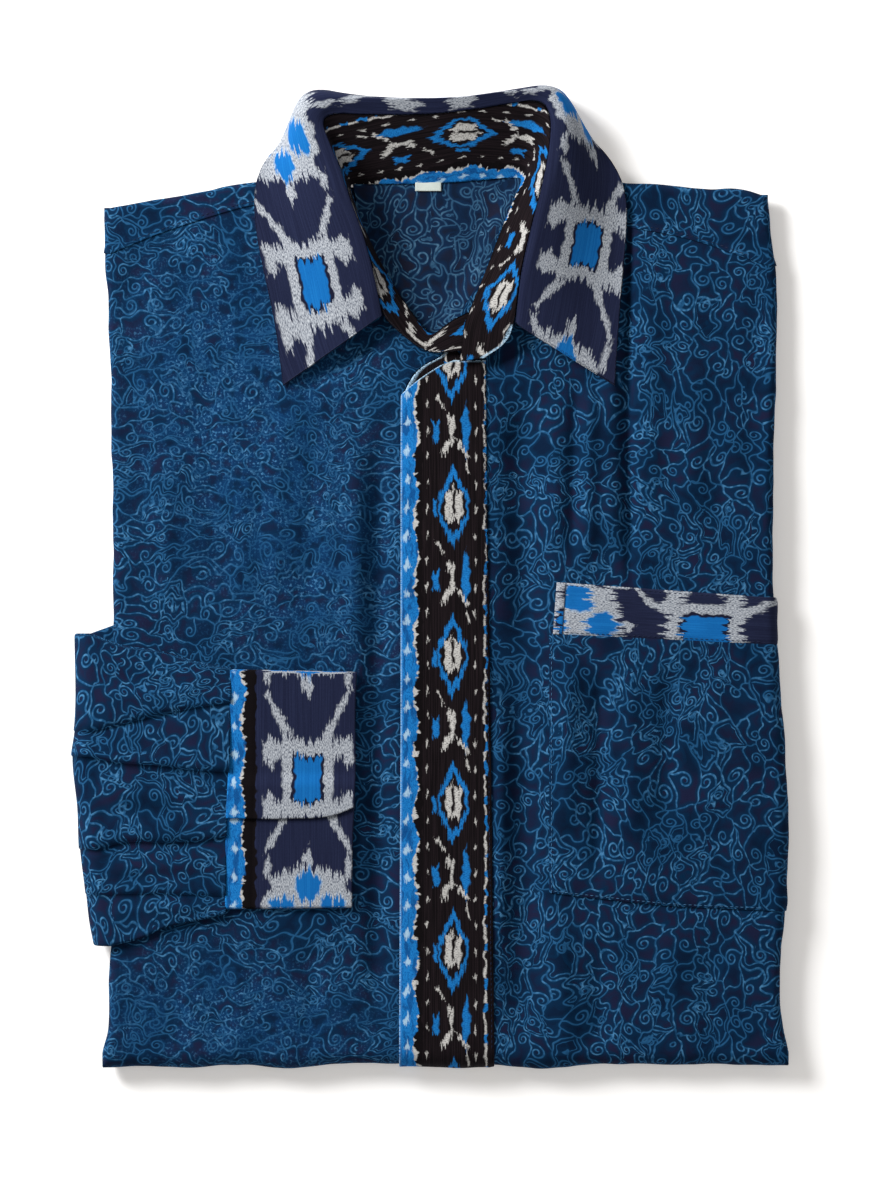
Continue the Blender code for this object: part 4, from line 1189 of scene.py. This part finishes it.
class Cloth:
    """A material and its nodes, with the places on the cloth in millimetres."""

    def __init__(self, name):
        self.material = bpy.data.materials.new(name)
        self.material.use_nodes = True
        self.tree = self.material.node_tree
        self.shader = self.tree.nodes["Principled BSDF"]
        unrolled_place = self.node("ShaderNodeUVMap", {"uv_map": "cloth"}, ())
        self.place = self.scaled(unrolled_place, 1 / MM)
        self.across, self.along = self.parts(self.place)[:2]

    def node(self, kind, settings, values, output=0):
        """Add a node: its settings first, then its sockets' values or links."""
        node = self.tree.nodes.new(kind)
        for key, value in settings.items():
            setattr(node, key, value)
        pairs = values.items() if isinstance(values, dict) else enumerate(values)
        for key, value in pairs:
            if isinstance(value, Value):
                self.tree.links.new(value.socket, node.inputs[key])
            else:
                node.inputs[key].default_value = value
        return Value(self, node.outputs[output])

    def vector(self, operation, *values):
        """Add a Vector Math node, which works on three numbers at once."""
        return self.node("ShaderNodeVectorMath", {"operation": operation}, values)

    def scaled(self, vector, factor):
        """A vector times a number."""
        values = {0: vector, "Scale": factor}
        return self.node("ShaderNodeVectorMath", {"operation": "SCALE"}, values)

    def parts(self, vector):
        """The three numbers of a vector."""
        first = self.node("ShaderNodeSeparateXYZ", {}, (vector,))
        return [Value(self, socket) for socket in first.socket.node.outputs]

    def join(self, x, y):
        """A vector from two numbers."""
        return self.node("ShaderNodeCombineXYZ", {}, (x, y))

    def noise(self, place, size, detail=0.0, output=0):
        """Soft noise from 0 to 1 whose lumps are about the size given."""
        values = {"Vector": self.scaled(place, 1 / size), "Scale": 1.0, "Detail": detail}
        return self.node("ShaderNodeTexNoise", {"noise_dimensions": "2D"}, values, output)

    def drift(self, place, size, reach, detail=0.0):
        """A soft shift of a place, up to about the reach given each way."""
        colour = self.noise(place, size, detail, "Color")
        centred = self.vector("SUBTRACT", colour, (0.5, 0.5, 0.0))
        return self.vector("MULTIPLY", centred, (2 * reach, 2 * reach, 0.0))

    def cells(self, place, feature, output=0):
        """Cells of a plan that chance moves out of their rows."""
        return self.node("ShaderNodeTexVoronoi", {"voronoi_dimensions": "2D", "feature": feature},
                         {"Vector": place, "Scale": 1.0, "Randomness": CELL_CHANCE}, output)

    def chance(self, place, output=0):
        """A number from 0 to 1, or a colour of three, that differs for each place."""
        settings = {"noise_dimensions": "2D"}
        return self.node("ShaderNodeTexWhiteNoise", settings, {"Vector": place}, output)

    def mark(self, name):
        """The number that the piece's own attribute gives."""
        return self.node("ShaderNodeAttribute", {"attribute_name": name}, (), "Fac")

    def dyed(self, colour, other, share):
        """A colour mixed with another by a share. Either may be six hexadecimal digits."""
        first, second = (dye(each) if isinstance(each, str) else each for each in (colour, other))
        values = {0: share, 6: first, 7: second}
        return self.node("ShaderNodeMix", {"data_type": "RGBA"}, values, 2)

    def finish(self, colour, roughness, height, depth, sheen, sheen_tint):
        """Wire the colour, the roughness and a height in millimetres into the shader."""
        relief = {"Strength": 1.0, "Distance": MM, "Height": height * depth}
        bump = self.node("ShaderNodeBump", {}, relief)
        for key, value in (("Base Color", colour), ("Roughness", roughness), ("Normal", bump)):
            self.tree.links.new(value.socket, self.shader.inputs[key])
        for key, value in (("Sheen Weight", sheen), ("Sheen Roughness", 0.5),
                           ("Sheen Tint", dye(sheen_tint)), ("Specular IOR Level", 0.05)):
            self.shader.inputs[key].default_value = value
        return self.material


# ---------------------------------------------------------------- cloths

WEAVE_PITCH = 0.42
THREAD_SHARE = 0.3
# Slubs of a thread: their width, length and share of the weave's height.
SLUB = (0.5, 7.0, 0.55)
# Sizes of the batik's drawing. A drift is its size and its reach, and a range is its least value
# and what chance adds.
CELL = (8.8, 17.5)
CELL_CHANCE = 0.85
CLOUD_DRIFT = (34.0, 5.5)
OUTLINE_DRIFT = (7.0, 3.9)
OUTLINE_SCALE = 14.0
OUTLINE_SLOPES = (0.45, 3.0)
SECOND_LINE = (1.8, 0.4)
SECOND_LINE_CHANCE = 0.35
CURL_SHIFT = 5.0
CURL_RADIUS = (1.9, 0.9)
CURL_TURNS = (1.45, 0.4)
CURL_EYE = (0.45, 0.75)
NO_LINE = 9
LINE_HALF = 0.28
LINE_SOFT = (0.45, 2.1)
HALO = 2.1
# Sizes of the batik's soft noises: its slow change of tone, its wear, and the wash's specks and
# breaks.
TONE_SIZE = 26.0
WEAR_SIZE = 2.6
SPECK_SIZE = 1.3
BREAK_SIZE = 7.0
WASH_BLUE = "0b325a"
BATIK_SHEEN = "6f9cc8"


def weave(cloth):
    """Height of a plain weave: two waves at right angles, with slubs along both threads."""
    turn = 2 * np.pi / WEAVE_PITCH
    width, length, share = SLUB
    threads = (cloth.across * turn).math("SINE") * (cloth.along * turn).math("SINE")
    slub_along = cloth.noise(cloth.join(cloth.across / width, cloth.along / length), 1.0, 1.0)
    slub_across = cloth.noise(cloth.join(cloth.across / length, cloth.along / width), 1.0, 1.0)
    return threads * THREAD_SHARE + slub_along * share + slub_across * share


def print_lines(cloth, start):
    """Distance in millimetres to the nearest drawn line.

    The clouds' outlines are the edges between cells of a plan that two smooth drifts bend, and
    here and there a second line follows them inside. The distance is divided by its own slope,
    so the lines keep their width. A curl turns with the angle round the cell's middle and with
    a bell of the distance from it, and its last turn runs out to the outline.
    """
    place = cloth.vector("ADD", start, cloth.drift(start, *CLOUD_DRIFT))
    step = 0.3
    plans, edges = [], []
    for shift in ((0.0, 0.0, 0.0), (step, 0.0, 0.0), (0.0, step, 0.0)):
        spot = cloth.vector("ADD", place, shift)
        bent = cloth.vector("ADD", spot, cloth.drift(spot, *OUTLINE_DRIFT))
        plans.append(cloth.vector("DIVIDE", bent, (*CELL, 1.0)))
        edges.append(cloth.cells(plans[-1], "DISTANCE_TO_EDGE") * OUTLINE_SCALE)
    here, right, up = edges
    slope = ((right - here) * (right - here) + (up - here) * (up - here)).root() / step
    outline = here / slope.most(OUTLINE_SLOPES[0]).least(OUTLINE_SLOPES[1])
    cell = cloth.cells(plans[0], "F1", "Position")
    luck_1, luck_2, luck_3 = cloth.parts(cloth.chance(cell, "Color"))
    second = abs(outline - SECOND_LINE[0] - luck_2 * SECOND_LINE[1])
    second = second + luck_3.over(SECOND_LINE_CHANCE) * NO_LINE
    middle = cloth.vector("MULTIPLY", cell, (*CELL, 1.0))
    offset_x, offset_y = cloth.parts(cloth.vector("SUBTRACT", place, middle))[:2]
    offset_y = offset_y + (luck_2 - 0.5) * CURL_SHIFT
    hand = luck_1.over(0.5) * 2 - 1
    radius = luck_3 * CURL_RADIUS[1] + CURL_RADIUS[0]
    far = (offset_x * offset_x + offset_y * offset_y).root().most(0.01)
    angle = offset_y.math("ARCTAN2", offset_x) / (2 * np.pi)
    bell = far.bell(radius)
    turns = luck_1 * CURL_TURNS[1] + CURL_TURNS[0]
    phase = hand * angle + turns * (1 - bell) + luck_2
    steep = turns * bell * 2 * far / radius / radius
    slope = (steep * steep + 1 / (far * far * (2 * np.pi) ** 2)).root()
    curl = abs(phase - phase.math("ROUND")) / slope
    curl = curl + (1 - far.eased(*CURL_EYE)) * NO_LINE
    return outline.least(second).least(curl)


BATIK_TINTS = {
    "ground": "061931", "violet": "171b35", "deep": "042440", "line": "1f5078", "pale": "467ca6"}
INSIDE_TINTS = {
    "ground": "0c1a2e", "violet": "191c2d", "deep": "0d2440", "line": "2c506d", "pale": "4a6f8a"}


def batik(name, tints, wash):
    """Wax-resist print: thin blue lines in a wide deep blue halo, on a violet black.

    Where the wash is, the print's lines blur, crowd and take more blue.
    """
    cloth = Cloth(name)
    near = print_lines(cloth, cloth.place)
    slow = cloth.noise(cloth.place, TONE_SIZE, 1.0)
    worn = cloth.noise(cloth.place, WEAR_SIZE, 2.0)
    line = 1 - near.eased(*(LINE_HALF * soft for soft in LINE_SOFT))
    halo = near.bell(HALO)
    colour = cloth.dyed(tints["ground"], tints["violet"], slow.eased(0.35, 0.65))
    halo = halo * (slow * 0.5 + 0.75) + (worn - 0.5) * 0.3
    colour = cloth.dyed(colour, tints["deep"], halo.least(1.0).most(0.0))
    paled = worn.eased(0.4, 0.75) * slow.eased(0.3, 0.6)
    ink = cloth.dyed(tints["line"], tints["pale"], paled)
    line = line * (worn.eased(0.15, 0.5) * 0.35 + 0.55)
    if wash:
        patch = cloth.mark("wash")
        specks = cloth.noise(cloth.place, SPECK_SIZE, 1.0).eased(0.5, 0.72)
        broken = cloth.noise(cloth.place, BREAK_SIZE, 2.0).eased(0.35, 0.62)
        colour = cloth.dyed(colour, WASH_BLUE, patch * (broken * 0.7 + 0.1))
        line = (line * (1 - patch * broken * 0.5)).most(specks * broken * patch * 0.8)
    colour = cloth.dyed(colour, ink, line)
    return cloth.finish(colour, 0.9 - line * 0.06, weave(cloth), 0.05, 0.03, BATIK_SHEEN)


def jag(cloth, across, reach, pitch, seed):
    """How far each bundle of warp threads has slipped along the cloth before weaving."""
    threads_in_bundle = 3.3
    fine = cloth.chance(cloth.join((across / pitch).floor(), seed)) - 0.5
    bundle = (across / (pitch * threads_in_bundle)).floor()
    broad = cloth.chance(cloth.join(bundle, seed + 7.0)) - 0.5
    return fine * (2 * reach) + broad * reach


def block(u, v, half_u, half_v):
    """More than 0 inside a block, less outside, in millimetres."""
    return (half_u - abs(u)).least(half_v - abs(v))


def lozenge(u, v, half_u, half_v):
    """More than 0 inside a lozenge, less outside, in millimetres."""
    return (1 - abs(u) / half_u - abs(v) / half_v) * half_v


def inked(distance, soft=0.25):
    """The share of a dye: 1 well inside a figure, 0 outside."""
    return (distance / (2 * soft) + 0.5).least(1.0).most(0.0)


BORDER_REPEAT = 74.0
# The border strip: its edge and its black band's depth on the cuff and on the border ikat, the
# length of its lumps, and the pitch and depth of its specks.
CUFF_STRIP = (-26.0, 6.6)
BORDER_STRIP = (-15.2, 3.6)
LUMP_LENGTH = 29.0
SPECK_PITCH = 14.2
SPECK_DEPTH = 4.2
# The ikats' colours. The pale blue for the folded edges is a painted highlight, not a dye.
IKAT = {
    "navy": "161a30", "light_navy": "242a44", "dark_navy": "15172a",
    "grey": "a2a7ae", "light_grey": "bfc2c6", "dark_grey": "70757f",
    "blue": "0c5799", "light_blue": "1c74b8", "dark_blue": "0b5190", "deep_blue": "0b3d75",
    "rim": "6f9cc6", "speck": "a3c0d2", "fold_highlight": "9fc0d8",
    "black": "0d090b", "light_black": "1c1518",
    "cream": "b9b7b3", "dark_cream": "716d6d", "grey_cream": "7d8288", "sheen": "b0b8d0"}


def flecked(cloth, u, v, seed):
    """Light and dark flecks, drawn out along the warp threads."""
    spot = cloth.join(u / 1.2, v / 0.36 + seed)
    return cloth.noise(spot, 1.0, 1.0)


def ikat_place(cloth, reach, seed):
    """Where the dyed warp has spread unevenly: u along it and v across it."""
    moved = cloth.vector("ADD", cloth.place, (seed, seed, 0.0))
    bent = cloth.vector("ADD", cloth.place, cloth.drift(moved, 5.0, reach, 1.0))
    return cloth.parts(bent)[:2]


def highlight_folds(cloth, colour, fleck):
    """A painted highlight: a pale broken line where the piece's attribute marks a folded edge."""
    return cloth.dyed(colour, IKAT["fold_highlight"], cloth.mark("fold_highlight") * fleck.eased(0.3, 0.55))


def streaks(cloth, length, width):
    """Uneven dye along the warp threads."""
    return cloth.noise(cloth.join(cloth.across / length, cloth.along / width), 1.0, 2.0)


def ikat_finish(cloth, colour, fleck, streak):
    """The painted highlight along folded edges, the weave and the sheen that both ikats have."""
    colour = highlight_folds(cloth, colour, fleck)
    relief = weave(cloth) + fleck * 0.08
    return cloth.finish(colour, 0.9 - streak * 0.04, relief, 0.06, 0.04, IKAT["sheen"])


def large_ikat(name, border_strip=None):
    """Large warp ikat: grey frames round a blue block, and pairs of blue lozenges between.

    u runs along the warp and v across it. Every figure is even in v, and repeats along u by
    LARGE_REPEAT, mirrored about its middle. A figure's numbers are how far its middle is from
    the repeat's middle (near) or end (far) and from where v is 0, then its half sizes.
    """
    cloth = Cloth(name)
    u, v = ikat_place(cloth, 1.6, 40.0)
    side = abs(v)
    slip = jag(cloth, cloth.along, 1.6, 0.5, 3.0)
    spike = jag(cloth, cloth.along, 2.0, 0.8, 11.0)
    far = abs((u + slip + LARGE_REPEAT / 2).repeated(LARGE_REPEAT))
    near = LARGE_REPEAT / 2 - far
    bar = block(near - 15.0, v, 4.4 + spike, 20.0)
    post = block(near - 9.0, side - 10.0, 12.0 + spike, 2.6)
    arm = block(near - 33.0, side - 10.0 - (near - 23.0) * 0.52, 12.0 + spike, 3.1 - near * 0.04)
    hook = block(near - 14.0, side - 20.0, 7.0 + spike, 2.6)
    ground = block(far, v, 23.0 + spike * 1.3 - side * 0.3, 18.5)
    wing = block(far - 21.5, side - 20.3, 5.5 + spike, 1.8)
    tip = block(far - 26.0, v, 8.0 + spike - side * 2.6, 3.0)
    grey = bar.most(post).most(arm).most(hook).most(ground).most(wing).most(tip)
    middle = block(near, v, 10.8 + spike * 0.7, 6.6)
    rim = block(near, v, 12.0, 8.0)
    drop = lozenge(far - 12.0, v, 11.0 + spike, 7.6).least(5.8 - side).least(far - 5.5 + spike)
    round_side = abs(side - 12.7)
    lobe = lozenge(far, round_side, 12.0, 10.0).least(6.0 - round_side).least(6.6 + spike - far)
    blue = middle.most(drop).most(lobe)
    grey = grey.most(lobe + 5.5).least(23.0 - side)
    streak = streaks(cloth, 40.0, 0.6)
    fleck = flecked(cloth, cloth.across, cloth.along, 5.0)
    uneven = streak.eased(0.35, 0.75) * 0.5 + fleck * 0.4
    navy = cloth.dyed(IKAT["navy"], IKAT["light_navy"], uneven)
    light = cloth.dyed(IKAT["dark_grey"], IKAT["grey"], fleck.eased(0.3, 0.6))
    light = cloth.dyed(light, IKAT["light_grey"], fleck.eased(0.56, 0.78) * 0.8)
    light_share = inked(grey, 0.6) * (0.62 + fleck.eased(0.3, 0.5) * 0.38)
    colour = cloth.dyed(navy, light, light_share)
    colour = cloth.dyed(colour, IKAT["dark_navy"], inked(rim))
    uneven = streak.eased(0.4, 0.7) * 0.35 + fleck * 0.3
    bright = cloth.dyed(IKAT["blue"], IKAT["light_blue"], uneven)
    blue_rim = inked(blue + 0.8, 0.5) * 0.45
    colour = cloth.dyed(colour, IKAT["rim"], blue_rim * (1 - inked(rim)))
    colour = cloth.dyed(colour, bright, inked(blue, 0.35))
    if border_strip:
        colour = strip(cloth, colour, u, v, slip, *border_strip)
    return ikat_finish(cloth, colour, fleck, streak)


def strip(cloth, colour, u, v, slip, edge, black):
    """A narrow border: blue with pale specks, a pale ragged line of lumps, and a black band."""
    depth = edge - v
    lumps = (u * (2 * np.pi / LUMP_LENGTH)).math("SINE").most(-0.6)
    ragged = cloth.noise(cloth.join(u / 3.0, v / 30.0), 1.0, 2.0)
    fleck = flecked(cloth, u, v, 25.0)
    colour = cloth.dyed(colour, IKAT["black"], inked(depth))
    blue = depth - black + lumps * 1.5 - (ragged - 0.5) * 2.6
    rim = blue + (ragged - 0.45) * 9.0 - lumps * 0.7
    pale = cloth.dyed(IKAT["grey_cream"], IKAT["cream"], fleck.eased(0.25, 0.5))
    colour = cloth.dyed(colour, pale, inked(rim, 0.35))
    uneven = cloth.noise(cloth.join(u / 12.0, v / 2.5), 1.0, 2.0)
    ink = cloth.dyed(IKAT["blue"], IKAT["light_blue"], fleck.eased(0.3, 0.6))
    ink = cloth.dyed(ink, IKAT["deep_blue"], uneven.eased(0.48, 0.66) * 0.75)
    colour = cloth.dyed(colour, ink, inked(blue, 0.3))
    speck_v = depth - black - SPECK_DEPTH + (ragged - 0.5) * 2.0
    speck = lozenge((u + slip * 0.6).repeated(SPECK_PITCH), speck_v, 2.4, 1.7)
    return cloth.dyed(colour, IKAT["speck"], inked(speck + (fleck - 0.5) * 1.5, 0.6) * 0.85)


def border_ikat(name):
    """Border ikat: blue lozenges with pale middles on black, between a blue strip and a line.

    u runs along the warp and v across it. The figures repeat along u by BORDER_REPEAT, each
    with its own chance shift and size. Their numbers are as in the large ikat: wave is counted
    from a lozenge's middle, and half from the middle between two.
    """
    cloth = Cloth(name)
    u, v = ikat_place(cloth, 1.5, 70.0)
    slip = jag(cloth, cloth.along, 1.2, 0.45, 23.0)
    spike = jag(cloth, cloth.along, 1.3, 0.9, 31.0)
    order = (u / BORDER_REPEAT + 0.5).floor()
    luck = cloth.chance(cloth.join(order, 41.0)) - 0.5
    wave = (u + slip).repeated(BORDER_REPEAT) + luck * 2.0
    half = (u + slip + BORDER_REPEAT / 2).repeated(BORDER_REPEAT)
    centred = v + luck * 1.5
    ring = lozenge(wave, centred, 20.5 + spike, 10.4).least(7.4 - abs(centred))
    hole = lozenge(wave, centred, 14.6 + spike, 8.6).least(6.3 - abs(centred))
    heart = block(wave - 0.5, centred, 7.4 + spike * 0.8, 4.1)
    heart = heart.least(4.2 - abs(centred) + (wave + 4.0) * 0.5)
    heart = heart.most(block(wave - 8.0, centred + 0.4, 2.0 + spike, 0.5))
    slit = block(wave - 1.6, centred - 0.2, 6.4, 0.75)
    stem = block(half - 1.5, v + 0.4, 6.5 + spike, 1.0 + luck)
    leg_left = block(half + 6.8, v + 2.6 - (half + 4.0) * 0.35, 3.4 + spike, 1.5)
    leg_right = block(half + 7.2, v - 2.4 + (half + 4.0) * 0.7, 4.0 + spike, 0.9)
    head = block(half - 8.2, v + 2.2, 1.6 + spike, 0.9)
    figure = heart.least(-slit).most(stem).most(leg_left).most(leg_right).most(head)
    bar_right = lozenge(half - 2.0, v - 6.4, 13.0 + spike, 3.0).least(2.0 - abs(v - 6.4))
    bars = bar_right.most(block(half - 0.8, v + 8.6, 5.4 + spike, 1.6))
    bars = bars.most(block(wave + 0.5, v + 9.0, 5.0 + spike, 0.9))
    fleck_left = block(wave + 20.0, v + 6.6 + (wave + 20.0) * 0.55, 3.8 + spike, 0.6)
    fleck_right = block(wave - 19.5, v - 7.2 + (wave - 19.5) * 0.3, 2.6 + spike, 0.5)
    specks = lozenge((u + slip).repeated(13.0), abs(v + 0.8) - 12.0, 1.5 + spike * 0.4, 0.8)
    fleck = flecked(cloth, cloth.along, cloth.across, 15.0)
    line_noise = cloth.noise(cloth.join(u / 9.0, 3.0), 1.0, 1.0)
    line = (0.55 - abs(v - 16.0 + luck * 0.4)).least((line_noise - 0.46) * 18.0)
    line_blue = (0.7 - abs(v - 16.6)).least((0.47 - line_noise) * 18.0)
    streak = streaks(cloth, 30.0, 0.5)
    black = cloth.dyed(IKAT["black"], IKAT["light_black"], streak.eased(0.35, 0.7))
    blue = cloth.dyed(IKAT["dark_blue"], IKAT["light_blue"], fleck.eased(0.25, 0.65))
    pale = cloth.dyed(IKAT["dark_cream"], IKAT["cream"], fleck.eased(0.28, 0.5))
    colour = cloth.dyed(black, blue, inked(ring.least(-hole), 0.4).most(inked(bars, 0.4)))
    colour = cloth.dyed(colour, blue, inked(line_blue))
    pales = inked(figure, 0.35).most(inked(fleck_left.most(fleck_right), 0.3))
    pales = pales.most(inked(line, 0.3)).most(inked(specks, 0.3) * 0.9)
    colour = cloth.dyed(colour, pale, pales * (0.7 + fleck.eased(0.3, 0.45) * 0.3))
    colour = strip(cloth, colour, u, v, slip, *BORDER_STRIP)
    return ikat_finish(cloth, colour, fleck, streak)


def plain_cloth(name, tint, shade, pitch):
    """One colour of cloth, with soft variation and its own weave."""
    cloth = Cloth(name)
    soft = cloth.noise(cloth.place, pitch * 6, 2.0)
    colour = cloth.dyed(tint, shade, soft)
    return cloth.finish(colour, 0.85 + soft * 0.08, weave(cloth), 0.05, 0.1, "ffffff")


# ---------------------------------------------------------------- putting it together

# Where the print has washed: an oval's middle, its half width and height, and its share.
WASH_SPOTS = (
    (-78, 60, 46, 74, 1.0), (-120, 90, 34, 60, 0.55), (-50, -10, 40, 40, 0.6),
    (-110, -215, 58, 26, 1.0), (-60, -225, 40, 20, 0.5), (-100, 130, 50, 40, 0.35))


def add_field(piece, name, field):
    """Give each point of a piece a number from 0 to 1, by a function of its plan place."""
    count = len(piece.data.vertices)
    points = np.zeros(count * 3)
    piece.data.vertices.foreach_get("co", points)
    x, y = (points.reshape(-1, 3) / MM + CENTRE).T[:2]
    layer = piece.data.attributes.new(name, "FLOAT", "POINT")
    layer.data.foreach_set("value", np.clip(field(x, y), 0, 1).astype(np.float32))


def wash_field(x, y):
    """A sum of soft ovals."""
    return sum(share * np.exp(-((x - spot_x) / wide) ** 2 - ((y - spot_y) / high) ** 2)
               for spot_x, spot_y, wide, high, share in WASH_SPOTS)


def placket_highlight(x, y):
    """Where the painted highlight lies: along the placket's slanting top and its free folded edge.
    """
    top = np.interp(x, PLACKET["left"][3:], PLACKET["y"][3:])
    left = np.interp(y, PLACKET["y"], PLACKET["left"])
    return np.maximum(1.6 - 2.2 * (top - y), 0.75 - 0.9 * (x - left))


def band_highlight(x, y):
    """Where the painted highlight lies on the button band: its edge at the neckline."""
    return (y > 88) * (1.9 - 0.75 * (x - neck_right(y)))


def stand_highlight(x, y):
    """Where the painted highlight lies on the stand: its rounded front end."""
    edge = np.interp(y, (111, 117, 127), (26, 36, 41))
    return (y < 127) * (x > 20) * (0.9 - 0.8 * (edge - x))


def dress(piece, node):
    """The piece stands for a node of the frame, which is hidden."""
    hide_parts(node)
    return piece


def crosswise(first, last, line, lift):
    """A row of stitches across the shirt, on the line that a function of x gives."""
    x = evenly(first, last)
    return sewn_line(x, line(x), lift)


def add_sewing(leaf_grid):
    """Rows of stitches beside the seams that show."""
    inset = 1.2
    on_pocket = POCKET_LIFT - 0.35
    on_band = BAND_LIFT - 0.2
    on_placket = PLACKET_LIFT - 0.4
    on_yoke = 0.45
    pocket_end = 168.0
    dark = plain_cloth("thread_navy", "141a30", "1c2745", 0.4)
    light = plain_cloth("thread_blue", "2a5680", "4f7ea4", 0.4)
    y = evenly(-158.5, -30.0)
    rows = [sewn_line(0 * y + POCKET_LEFT + inset, y, on_pocket),
            crosswise(POCKET_LEFT + inset, pocket_end,
                      lambda x: pocket_foot(x) + inset, on_pocket)]
    add_stitches("light_sewing", rows, light)
    y = evenly(-236.0, 92.0)
    rows = [crosswise(63.5, pocket_end, lambda x: pocket_band_foot(x) + inset, on_band),
            crosswise(63.5, pocket_end, lambda x: pocket_band_top(x) - inset, on_band),
            sewn_line(straight(PLACKET, y, "y", "right") - inset, y, on_placket),
            crosswise(-150.0, -44.0, lambda x: right_seam(x) + inset, on_yoke),
            crosswise(56.0, 160.0, lambda x: left_seam(x) + inset, on_yoke)]
    rows += [grid_line(leaf_grid[:, ::-1], inset, last) for last in (False, True)]
    add_stitches("dark_sewing", rows, dark)


def add_floor():
    """A pale floor, wide enough to have no edge in view, just under the shirt."""
    size = 6.0
    gap = 0.0004
    bpy.ops.mesh.primitive_plane_add(size=size, location=(0, 0, -gap))
    floor = bpy.context.object
    floor.name = "floor"
    material = bpy.data.materials.new("floor_paper")
    material.use_nodes = True
    shader = material.node_tree.nodes["Principled BSDF"]
    for socket, value in (
            ("Base Color", (0.96, 0.955, 0.95, 1)), ("Roughness", 0.9),
            ("Specular IOR Level", 0.1),
            ("Emission Color", (1, 0.94, 0.88, 1)), ("Emission Strength", 0.26)):
        shader.inputs[socket].default_value = value
    floor.data.materials.append(material)


def add_light(name, place, size, power):
    """A square light that faces the frame's origin."""
    light = bpy.data.lights.new(name, "AREA")
    light.size = size
    light.energy = power
    lamp = bpy.data.objects.new(name, light)
    lamp.location = place
    lamp.rotation_euler = (-Vector(place)).to_track_quat("-Z", "Y").to_euler()
    bpy.context.scene.collection.objects.link(lamp)


def add_studio():
    """A large soft light from the upper left, a weaker one across it, and a pale surround."""
    add_light("window", (-1.45, 1.1, 1.1), 0.9, 78)
    add_light("fill", (1.4, -0.6, 1.8), 1.6, 5)
    world = bpy.data.worlds.new("studio")
    world.use_nodes = True
    surround = world.node_tree.nodes["Background"].inputs
    surround["Color"].default_value = (1, 0.995, 0.985, 1)
    surround["Strength"].default_value = 0.32
    bpy.context.scene.world = world
    bpy.context.scene.view_settings.view_transform = "Standard"


def add_camera():
    """A long lens straight above: the view is 0.6 m high, and a little off the shirt's middle."""
    distance = 6.0
    view_height = 0.6
    aim_x, aim_y, aim_z = 0.00776, -0.01101, 0.014
    camera = bpy.data.cameras.new("camera")
    camera.sensor_width = 36.0
    camera.lens = camera.sensor_width * distance / view_height
    camera.clip_end = 20.0
    holder = bpy.data.objects.new("camera", camera)
    holder.location = (aim_x, aim_y, aim_z + distance)
    bpy.context.scene.collection.objects.link(holder)
    bpy.context.scene.camera = holder


add_camera()
add_studio()
add_floor()

batik_worn = batik("batik_worn", BATIK_TINTS, True)
batik_face = batik("batik_face", BATIK_TINTS, False)
batik_inside = batik("batik_inside", INSIDE_TINTS, False)
border_cloth = border_ikat("border_ikat")
large_cloth = large_ikat("large_ikat")
cuff_finish = large_ikat("cuff_ikat", CUFF_STRIP)

hidden = build_hidden_layers(batik_face)
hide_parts("folded_layers")
right_front, left_front = build_fronts(batik_worn)
dress(right_front, "front_right")
dress(left_front, "front_left")
right_yoke, left_yoke = build_yokes(batik_worn)
dress(right_yoke, "yoke_right")
dress(left_yoke, "yoke_left")
dress(build_back(batik_inside), "back")
button_band = build_button_band(border_cloth)
dress(button_band, "button_band")
placket = dress(build_placket(border_cloth), "placket")
pocket, pocket_band = build_pocket(batik_face, large_cloth)
dress(pocket, "pocket")
dress(pocket_band, "pocket_band")
dress(build_sleeve(batik_face), "sleeve")
dress(build_cuff(cuff_finish), "cuff")
stand, leaf, leaf_grid = build_collar(border_cloth, large_cloth)
dress(stand, "collar_stand")
dress(leaf, "collar_leaf")
tab_satin = plain_cloth("tab_satin", "c9cfc8", "aab4ae", 1.2)
dress(build_tab(tab_satin), "neck_tab")
add_sewing(leaf_grid)
for piece in (right_front, left_front, right_yoke, left_yoke):
    add_field(piece, "wash", wash_field)
# Painted highlight on the folded edges of the button band, placket and stand.
add_field(button_band, "fold_highlight", band_highlight)
add_field(placket, "fold_highlight", placket_highlight)
add_field(stand, "fold_highlight", stand_highlight)
